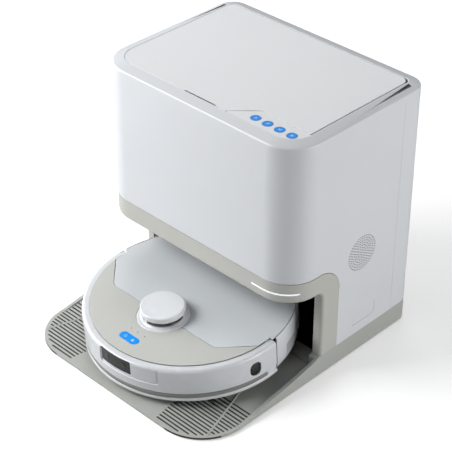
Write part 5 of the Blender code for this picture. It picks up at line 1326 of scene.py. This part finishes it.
# ---------------------------------------------------------------- robot underside
def drive_wheels(robot):
    for side in ("left", "right"):
        low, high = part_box(side + "_tyre")
        centre, radius, half = (low + high) / 2, (high.z - low.z) / 2, (high.x - low.x) / 2
        across = TURN.to_3x3().to_4x4() @ Matrix.Rotation(math.pi / 2, 4, "Y")
        at = Matrix.Translation(centre) @ across
        band = spun([(radius - 0.0060, half), (radius - 0.0022, half), (radius - 0.0014, half - 0.0012),
                (radius - 0.0012, 0),
                     (radius - 0.0014, -half + 0.0012), (radius - 0.0022, -half), (radius - 0.0060, -half)], 64)
        blocks = []
        for i in range(robot.tread_blocks):
            for sign in (-1, 1):
                block = block_mesh([((radius - 0.0020, -0.0023, 0.0006), (radius - 0.0001, 0.0023, half - 0.0012))])
                block.transform(Matrix.Rotation(2 * math.pi * (i + (0.25 if sign > 0 else 0.0)) / robot.tread_blocks,
                        4, "Z")
                                @ Matrix.Diagonal((1, 1, sign, 1)))
                blocks.append(block)
        treads = together(blocks)
        bm = bmesh.new()
        bm.from_mesh(treads)
        bmesh.ops.recalc_face_normals(bm, faces=bm.faces)
        bm.to_mesh(treads)
        bm.free()
        piece(side + "_tyre_band", band, at, side + "_wheel", "nitrile_rubber_moulded_black", side + "_tyre",
              edge=0.0003, segments=2)
        piece(side + "_tyre_treads", treads, at, side + "_wheel", "nitrile_rubber_moulded_black",
              edge=0.0003, segments=2)
        rim, face = radius - 0.0063, half - 0.0015
        hub = spun([(0, face), (0.0060, face), (0.0070, face - 0.0010), (0.0085, face - 0.0035),
                (rim - 0.0045, face - 0.0035),
                    (rim - 0.0030, face - 0.0004), (rim - 0.0004, face), (rim, face - 0.0004), (rim, -face),
                    (0, -face)], 56, closed=False)
        spokes = [moved(block_mesh([((0.0065, -0.0016, face - 0.0040), (rim - 0.0026, 0.0016, face - 0.0012))]),
                turn=2 * math.pi * i / 6)
                  for i in range(6)]
        piece(side + "_hub_disc", hub, at, side + "_wheel", "nylon_grey_moulded_fittings", side + "_wheel_hub",
              sharp=40)
        piece(side + "_hub_spokes", together(spokes), at, side + "_wheel", "nylon_grey_moulded_fittings",
              edge=0.0004,
              segments=2)
        axle = spun([(0, face + 0.0008), (0.0024, face + 0.0008), (0.0030, face + 0.0004), (0.0030, face - 0.0010),
                (0, face - 0.0010)], 32,
                    closed=False)
        piece(side + "_axle_end", axle, at, side + "_wheel", "steel_nickel_plated")
        dressed(side + "_wheel_arm", "abs_black_eroded_lining", edge=0.0005)


def caster_and_guard():
    dressed("caster_fork", "nylon_grey_moulded_fittings", edge=0.0004)
    dressed("caster_wheel", "nitrile_rubber_moulded_black")
    dressed("brush_guard", "nylon_grey_moulded_fittings", edge=0.0004)
    dressed("robot_chassis", "abs_black_eroded_lining", edge=0.0004)


def side_brush_details(robot):
    """A hub with three arms, each ending in a splayed bundle of bristles."""
    at = Matrix.Translation(joint("side_brush_spin")["pos_m"]) @ TURN
    hub = spun([(0, -0.0078), (0.0090, -0.0078), (0.0110, -0.0070), (0.0110, -0.0052), (0.0095, -0.0042),
            (0.0042, -0.0040), (0.0040, 0.0070),
                (0, 0.0070)], 40, closed=False)
    arms, strands = [], []
    for i in range(3):
        turn = math.radians(17 + 120 * i)
        arm = outline_mesh([filleted([(0.006, -0.0024, 0), (0.0200, -0.0018, 0.0012), (0.0200, 0.0018, 0.0012),
                (0.006, 0.0024, 0)], 4)],
                           -0.0076, -0.0054)
        arms.append(moved(arm, turn=turn))
        for k in range(robot.bristles):
            share = k / (robot.bristles - 1) - 0.5
            tip = Vector((0.0355, 0.0070 * share - 0.0012, -0.0074 + 0.0006 * math.cos(5 * share)))
            root = Vector((0.0185, 0.0026 * share, -0.0066))
            strands.append(moved(strand_mesh(root, tip, 0.00022), turn=turn))
    piece("sweeper_hub", hub, at, "side_brush", "nylon_grey_moulded_fittings", "side_brush", sharp=50)
    piece("sweeper_arms", together(arms), at, "side_brush", "nylon_grey_moulded_fittings",
          edge=0.0004, segments=2)
    piece("sweeper_bristles", together(strands), at, "side_brush", "nylon_extruded_bristle", sharp=80)
    screw = spun([(0, -0.0086), (0.0022, -0.0084), (0.0027, -0.0078), (0.0027, -0.0072), (0, -0.0072)], 24,
            closed=False)
    cross = [block_mesh([((-x, -y, -0.010), (x, y, -0.0080))]) for x, y in ((0.0020, 0.0003), (0.0003, 0.0020))]
    piece("sweeper_screw", carved(screw, cross), at, "side_brush", "steel_nickel_plated")


def strand_mesh(root, tip, radius):
    """One bristle, five-sided, with a slight bow."""
    bm = bmesh.new()
    rings = []
    for i in range(4):
        t = i / 3
        spot = root.lerp(tip, t) + Vector((0, 0.0008 * math.sin(math.pi * t), 0.0))
        rings.append([bm.verts.new(spot + Vector((0, radius * (1 - 0.4 * t) * math.cos(a),
                radius * (1 - 0.4 * t) * math.sin(a))))
                      for a in (2 * math.pi * k / 5 for k in range(5))])
    for a, b in zip(rings, rings[1:]):
        for i in range(5):
            bm.faces.new((a[i], a[(i + 1) % 5], b[(i + 1) % 5], b[i]))
    bm.faces.new(rings[0])
    bm.faces.new(rings[-1])
    bmesh.ops.recalc_face_normals(bm, faces=bm.faces)
    mesh = bpy.data.meshes.new("strand")
    bm.to_mesh(mesh)
    bm.free()
    return mesh


def roller_details():
    """The rubber roller: a ribbed core with six chevron fins."""
    low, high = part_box("roller_brush")
    centre = Vector(joint("roller_brush_spin")["pos_m"])
    half, radius = (high.x - low.x) / 2, 0.0215
    at = Matrix.Translation(centre) @ Matrix.Rotation(math.pi / 2, 4, "Y")
    core = spun([(0, half), (0.0050, half), (0.0055, half - 0.0015), (0.0135, half - 0.0020), (0.0150, half - 0.0035),
            (0.0150, -half + 0.0035),
                 (0.0135, -half + 0.0020), (0.0055, -half + 0.0015), (0.0050, -half), (0, -half)], 48, closed=False)
    fins = []
    for i in range(6):
        bm = bmesh.new()
        rings = []
        for k in range(25):
            t = k / 24
            z = (half - 0.004) * (2 * t - 1)
            a = 2 * math.pi * i / 6 + 0.55 * (1 - abs(2 * t - 1))
            wave = 0.0004 * math.sin(14 * math.pi * t)
            out, side = Vector((math.cos(a), math.sin(a), 0)), Vector((-math.sin(a), math.cos(a), 0))
            rings.append([bm.verts.new(out * r + side * s + Vector((0, 0, z))) for r, s in
                          ((0.0140, -0.0013), (radius - 0.0006, -0.0006 + wave), (radius - 0.0001, wave),
                           (radius - 0.0006, 0.0006 + wave),
                           (0.0140, 0.0013))])
        for a, b in zip(rings, rings[1:]):
            for j in range(5):
                bm.faces.new((a[j], a[(j + 1) % 5], b[(j + 1) % 5], b[j]))
        bm.faces.new(rings[0])
        bm.faces.new(rings[-1])
        bmesh.ops.recalc_face_normals(bm, faces=bm.faces)
        fin = bpy.data.meshes.new("fin")
        bm.to_mesh(fin)
        bm.free()
        fins.append(fin)
    piece("roller_core", core, at, "roller_brush", "nitrile_rubber_moulded_black", "roller_brush", sharp=50)
    piece("roller_fins", together(fins), at, "roller_brush", "nitrile_rubber_moulded_black", sharp=60)


def mop_pads(robot):
    """Tufted microfibre pads on their drive plates."""
    for side in ("left", "right"):
        at = Matrix.Translation(joint(side + "_mop_spin")["pos_m"]) @ TURN
        dressed("mop_plate_" + side, "nylon_grey_moulded_fittings", edge=0.0004)
        radius, low, high = 0.0555, -0.0100 + robot.pile, -0.0065
        rings = [(0.004 + 0.0505 * i / 22, low) for i in range(23)]
        rings += [(radius - 0.0006, low + 0.0006), (radius, (low + high) / 2), (radius - 0.0008, high - 0.0002),
                (0.030, high), (0.004, high)]
        mesh = spun([(0, low), *rings, (0, high)], 96, closed=False)
        for v in mesh.vertices:
            if v.co.z < low + 0.0008 or v.co.xy.length > radius - 0.001:
                tuft = noise.noise(v.co * 900) * 0.6 + noise.noise(v.co * 380) * 0.4
                away = Vector((v.co.x, v.co.y, 0)).normalized() if v.co.xy.length > radius - 0.001 else Vector((0, 0,
                        -1))
                v.co += away * tuft * robot.pile * (0.5 if away.z == 0 else 1.0)
        pad = piece(side + "_mop_pad", mesh, at, side + "_mop", "microfibre_loop_pile", "mop_cloth_" + side,
                sharp=80)
        band = spun([(0.0535, -0.0066), (0.0555, -0.0068), (0.0556, -0.0060), (0.0535, -0.0062)], 72)
        piece(side + "_pad_binding", band, at, side + "_mop", "tpe_grey_overmoulded_strip")


def robot_inside():
    dressed("dust_bin", "san_clear_moulded_tank", edge=0.0005)
    dressed("suction_fan", "abs_black_eroded_lining", edge=0.0005)
    dressed("battery_pack", "pvc_blue_heat_shrunk")
    # A pleated filter stands in the bin, 3 mm from fold to fold.
    count, x0, x1 = 20, -0.072, -0.012
    zigzag = []
    for i in range(count + 1):
        zigzag.append((x0 + (x1 - x0) * i / count, 0.040 if i % 2 else 0.046))
    back = [(x, y + 0.0006) for x, y in reversed(zigzag)]
    pleats = outline_mesh([zigzag + back], 0.020, 0.050)
    piece("pleated_filter", pleats, ROBOT, "robot", "polypropylene_spun_fleece")
    rim = ringed([(rectangle(x0 - 0.002 + k, 0.0375 + k, x1 + 0.002 - k, 0.0490 - k, 0.002), z) for k, z in
                  ((0, 0.0518), (0, 0.0500), (0.0022, 0.0500), (0.0022, 0.0518))])
    piece("filter_frame", rim, ROBOT, "robot", "nylon_grey_moulded_fittings", edge=0.0002, segments=2)


# ---------------------------------------------------------------- stage
def make_stage(studio):
    scene = bpy.context.scene
    scene.view_settings.view_transform = "Standard"
    floor = bpy.data.meshes.new("studio_floor")
    bm = bmesh.new()
    bmesh.ops.create_grid(bm, x_segments=8, y_segments=8, size=9)
    bm.to_mesh(floor)
    bm.free()
    # White paper, lit from below: as seen it is white, but the light it throws back is that of grey paper.
    sweep, tree, shader = blank("paper_white_matt_sweep", Roughness=0.9)
    seen = node(tree, "ShaderNodeLightPath").outputs["Is Camera Ray"]
    tone = node(tree, "ShaderNodeMix", {"data_type": "RGBA", 6: (0.42, 0.42, 0.42, 1.0), 7: (*studio.floor, 1.0)},
            {0: seen})
    glow = node(tree, "ShaderNodeMath", {"operation": "MULTIPLY", 1: studio.floor_glow}, {0: seen})
    tree.links.new(tone.outputs[2], shader.inputs["Base Color"])
    shader.inputs["Emission Color"].default_value = (1.0, 1.0, 1.0, 1.0)
    tree.links.new(glow.outputs[0], shader.inputs["Emission Strength"])
    floor.materials.append(sweep)
    ground = bpy.data.objects.new("studio_floor", floor)
    ground.location.z = -0.0002
    scene.collection.objects.link(ground)

    world = bpy.data.worlds.new("pale_room")
    world.use_nodes = True
    world.node_tree.nodes["Background"].inputs["Color"].default_value = (0.97, 0.985, 1.0, 1.0)
    world.node_tree.nodes["Background"].inputs["Strength"].default_value = studio.sky
    scene.world = world
    for name, power, size, place, aim in (
            ("key_softbox", studio.key, (1.6, 1.2), (-1.5, -1.6, 1.9), (0.0, -0.05, 0.20)),
            ("low_softbox", studio.low, (1.8, 1.2), (-1.95, -1.85, 0.80), (0.0, -0.05, 0.20)),
            ("left_softbox", studio.left, (1.8, 1.0), (-2.5, -0.5, 0.75), (0.0, -0.05, 0.15)),
            ("back_softbox", studio.back, (1.8, 1.4), (-1.55, 1.95, 1.90), (0.0, 0.0, 0.35)),
            ("side_softbox", studio.side, (1.2, 1.2), (2.35, 1.45, 0.95), (0.0, 0.10, 0.20)),
            ("right_softbox", studio.right, (1.0, 1.0), (2.5, 0.3, 0.60), (0.0, 0.10, 0.20))):
        lamp = bpy.data.lights.new(name, "AREA")
        lamp.shape = "RECTANGLE"
        lamp.size, lamp.size_y = size
        lamp.energy = power
        holder = bpy.data.objects.new(name, lamp)
        holder.location = place
        holder.rotation_mode = "QUATERNION"
        holder.rotation_quaternion = (Vector(aim) - Vector(place)).to_track_quat("-Z", "Y")
        scene.collection.objects.link(holder)

    lens = bpy.data.cameras.new("view_camera")
    lens.lens, lens.sensor_width = studio.lens, 36.0
    lens.clip_start, lens.clip_end = 0.05, 60.0
    camera = bpy.data.objects.new("view_camera", lens)
    camera.location = studio.camera_place
    camera.rotation_euler = studio.camera_turn
    scene.collection.objects.link(camera)
    scene.camera = camera


# ---------------------------------------------------------------- operators
class STATION_OT_stage(bpy.types.Operator):
    """Add the pale floor, the soft lights and the camera."""
    bl_idname = "vacstation.stage"
    bl_label = "Stage"

    def execute(self, context):
        make_stage(context.scene.vac_studio)
        return {"FINISHED"}


class STATION_OT_finishes(bpy.types.Operator):
    """Make every material from the colours in the panel."""
    bl_idname = "vacstation.finishes"
    bl_label = "Finishes"

    def execute(self, context):
        make_finishes(context.scene.vac_colours)
        return {"FINISHED"}


class STATION_OT_ramp(bpy.types.Operator):
    """Build the ramp and plinth moulding."""
    bl_idname = "vacstation.ramp"
    bl_label = "Ramp"

    def execute(self, context):
        ramp_moulding(context.scene.vac_station)
        return {"FINISHED"}


class STATION_OT_trim(bpy.types.Operator):
    """Build the trim round the niche and its light guide."""
    bl_idname = "vacstation.trim"
    bl_label = "Niche Trim"

    def execute(self, context):
        trim_arch(context.scene.vac_station)
        light_guide()
        return {"FINISHED"}


class STATION_OT_cabinet(bpy.types.Operator):
    """Build the cabinet's shell, side fittings and rear cover."""
    bl_idname = "vacstation.cabinet"
    bl_label = "Cabinet"

    def execute(self, context):
        sizes = context.scene.vac_station
        cabinet_skin(sizes)
        side_fittings(sizes)
        rear_skin(sizes)
        return {"FINISHED"}


class STATION_OT_top(bpy.types.Operator):
    """Build the top frame, the lid and the control panel."""
    bl_idname = "vacstation.top"
    bl_label = "Top and Lid"

    def execute(self, context):
        sizes = context.scene.vac_station
        top_frame(sizes)
        lid_and_panel(sizes)
        return {"FINISHED"}


class STATION_OT_keys(bpy.types.Operator):
    """Build the four lit keys and their signs."""
    bl_idname = "vacstation.keys"
    bl_label = "Keys"

    def execute(self, context):
        panel_keys()
        return {"FINISHED"}


class STATION_OT_inside(bpy.types.Operator):
    """Finish the tanks, the dust bag, the niche and the feet."""
    bl_idname = "vacstation.inside"
    bl_label = "Station Inside"

    def execute(self, context):
        station_inside()
        return {"FINISHED"}


class STATION_OT_bumper(bpy.types.Operator):
    """Build the bumper with its strip, window and side sensor."""
    bl_idname = "vacstation.bumper"
    bl_label = "Bumper"

    def execute(self, context):
        bumper_skin(context.scene.vac_robot)
        bumper_fittings(context.scene.vac_robot)
        return {"FINISHED"}


class STATION_OT_body(bpy.types.Operator):
    """Build the robot's side wall, deck, top cover and start key."""
    bl_idname = "vacstation.body"
    bl_label = "Robot Body"

    def execute(self, context):
        body_wall(context.scene.vac_robot)
        deck_and_cover(context.scene.vac_robot)
        return {"FINISHED"}


class STATION_OT_turret(bpy.types.Operator):
    """Build the turret with its rotor and cap."""
    bl_idname = "vacstation.turret"
    bl_label = "Turret"

    def execute(self, context):
        turret(context.scene.vac_robot)
        return {"FINISHED"}


class STATION_OT_wheels(bpy.types.Operator):
    """Build the drive wheels, and finish the caster and the chassis."""
    bl_idname = "vacstation.wheels"
    bl_label = "Wheels"

    def execute(self, context):
        drive_wheels(context.scene.vac_robot)
        caster_and_guard()
        return {"FINISHED"}


class STATION_OT_brushes(bpy.types.Operator):
    """Build the side brush, the roller and the mop pads."""
    bl_idname = "vacstation.brushes"
    bl_label = "Brushes and Mops"

    def execute(self, context):
        side_brush_details(context.scene.vac_robot)
        roller_details()
        mop_pads(context.scene.vac_robot)
        return {"FINISHED"}


class STATION_OT_workings(bpy.types.Operator):
    """Finish the dust bin, the fan and the battery inside the robot."""
    bl_idname = "vacstation.workings"
    bl_label = "Robot Inside"

    def execute(self, context):
        robot_inside()
        return {"FINISHED"}


OPERATORS = (STATION_OT_stage, STATION_OT_finishes, STATION_OT_ramp, STATION_OT_trim, STATION_OT_cabinet,
        STATION_OT_top,
             STATION_OT_keys, STATION_OT_inside, STATION_OT_bumper, STATION_OT_body, STATION_OT_turret,
             STATION_OT_wheels,
             STATION_OT_brushes, STATION_OT_workings)
GROUPS = {"vac_station": StationSizes, "vac_robot": RobotSizes, "vac_colours": FinishColours,
        "vac_studio": StudioSettings}


class STATION_PT_panel(bpy.types.Panel):
    """Lists the pieces of the vacuum and its station."""
    bl_idname = "STATION_PT_panel"
    bl_label = "Vacuum Station"
    bl_space_type = "VIEW_3D"
    bl_region_type = "UI"
    bl_category = "Vacuum Station"

    def draw(self, context):
        for operator in OPERATORS:
            self.layout.operator(operator.bl_idname)
        for group in GROUPS:
            box = self.layout.box()
            settings = getattr(context.scene, group)
            for field in settings.bl_rna.properties:
                if field.identifier not in ("name", "rna_type"):
                    box.prop(settings, field.identifier)


def register():
    for group in GROUPS.values():
        bpy.utils.register_class(group)
    for operator in OPERATORS:
        bpy.utils.register_class(operator)
    bpy.utils.register_class(STATION_PT_panel)
    for name, group in GROUPS.items():
        setattr(bpy.types.Scene, name, PointerProperty(type=group))


def unregister():
    for name in GROUPS:
        delattr(bpy.types.Scene, name)
    for used in (STATION_PT_panel, *reversed(OPERATORS), *GROUPS.values()):
        bpy.utils.unregister_class(used)


def main():
    register()
    for operator in OPERATORS:
        getattr(bpy.ops.vacstation, operator.bl_idname.split(".")[1])()


if __name__ == "__main__":
    main()
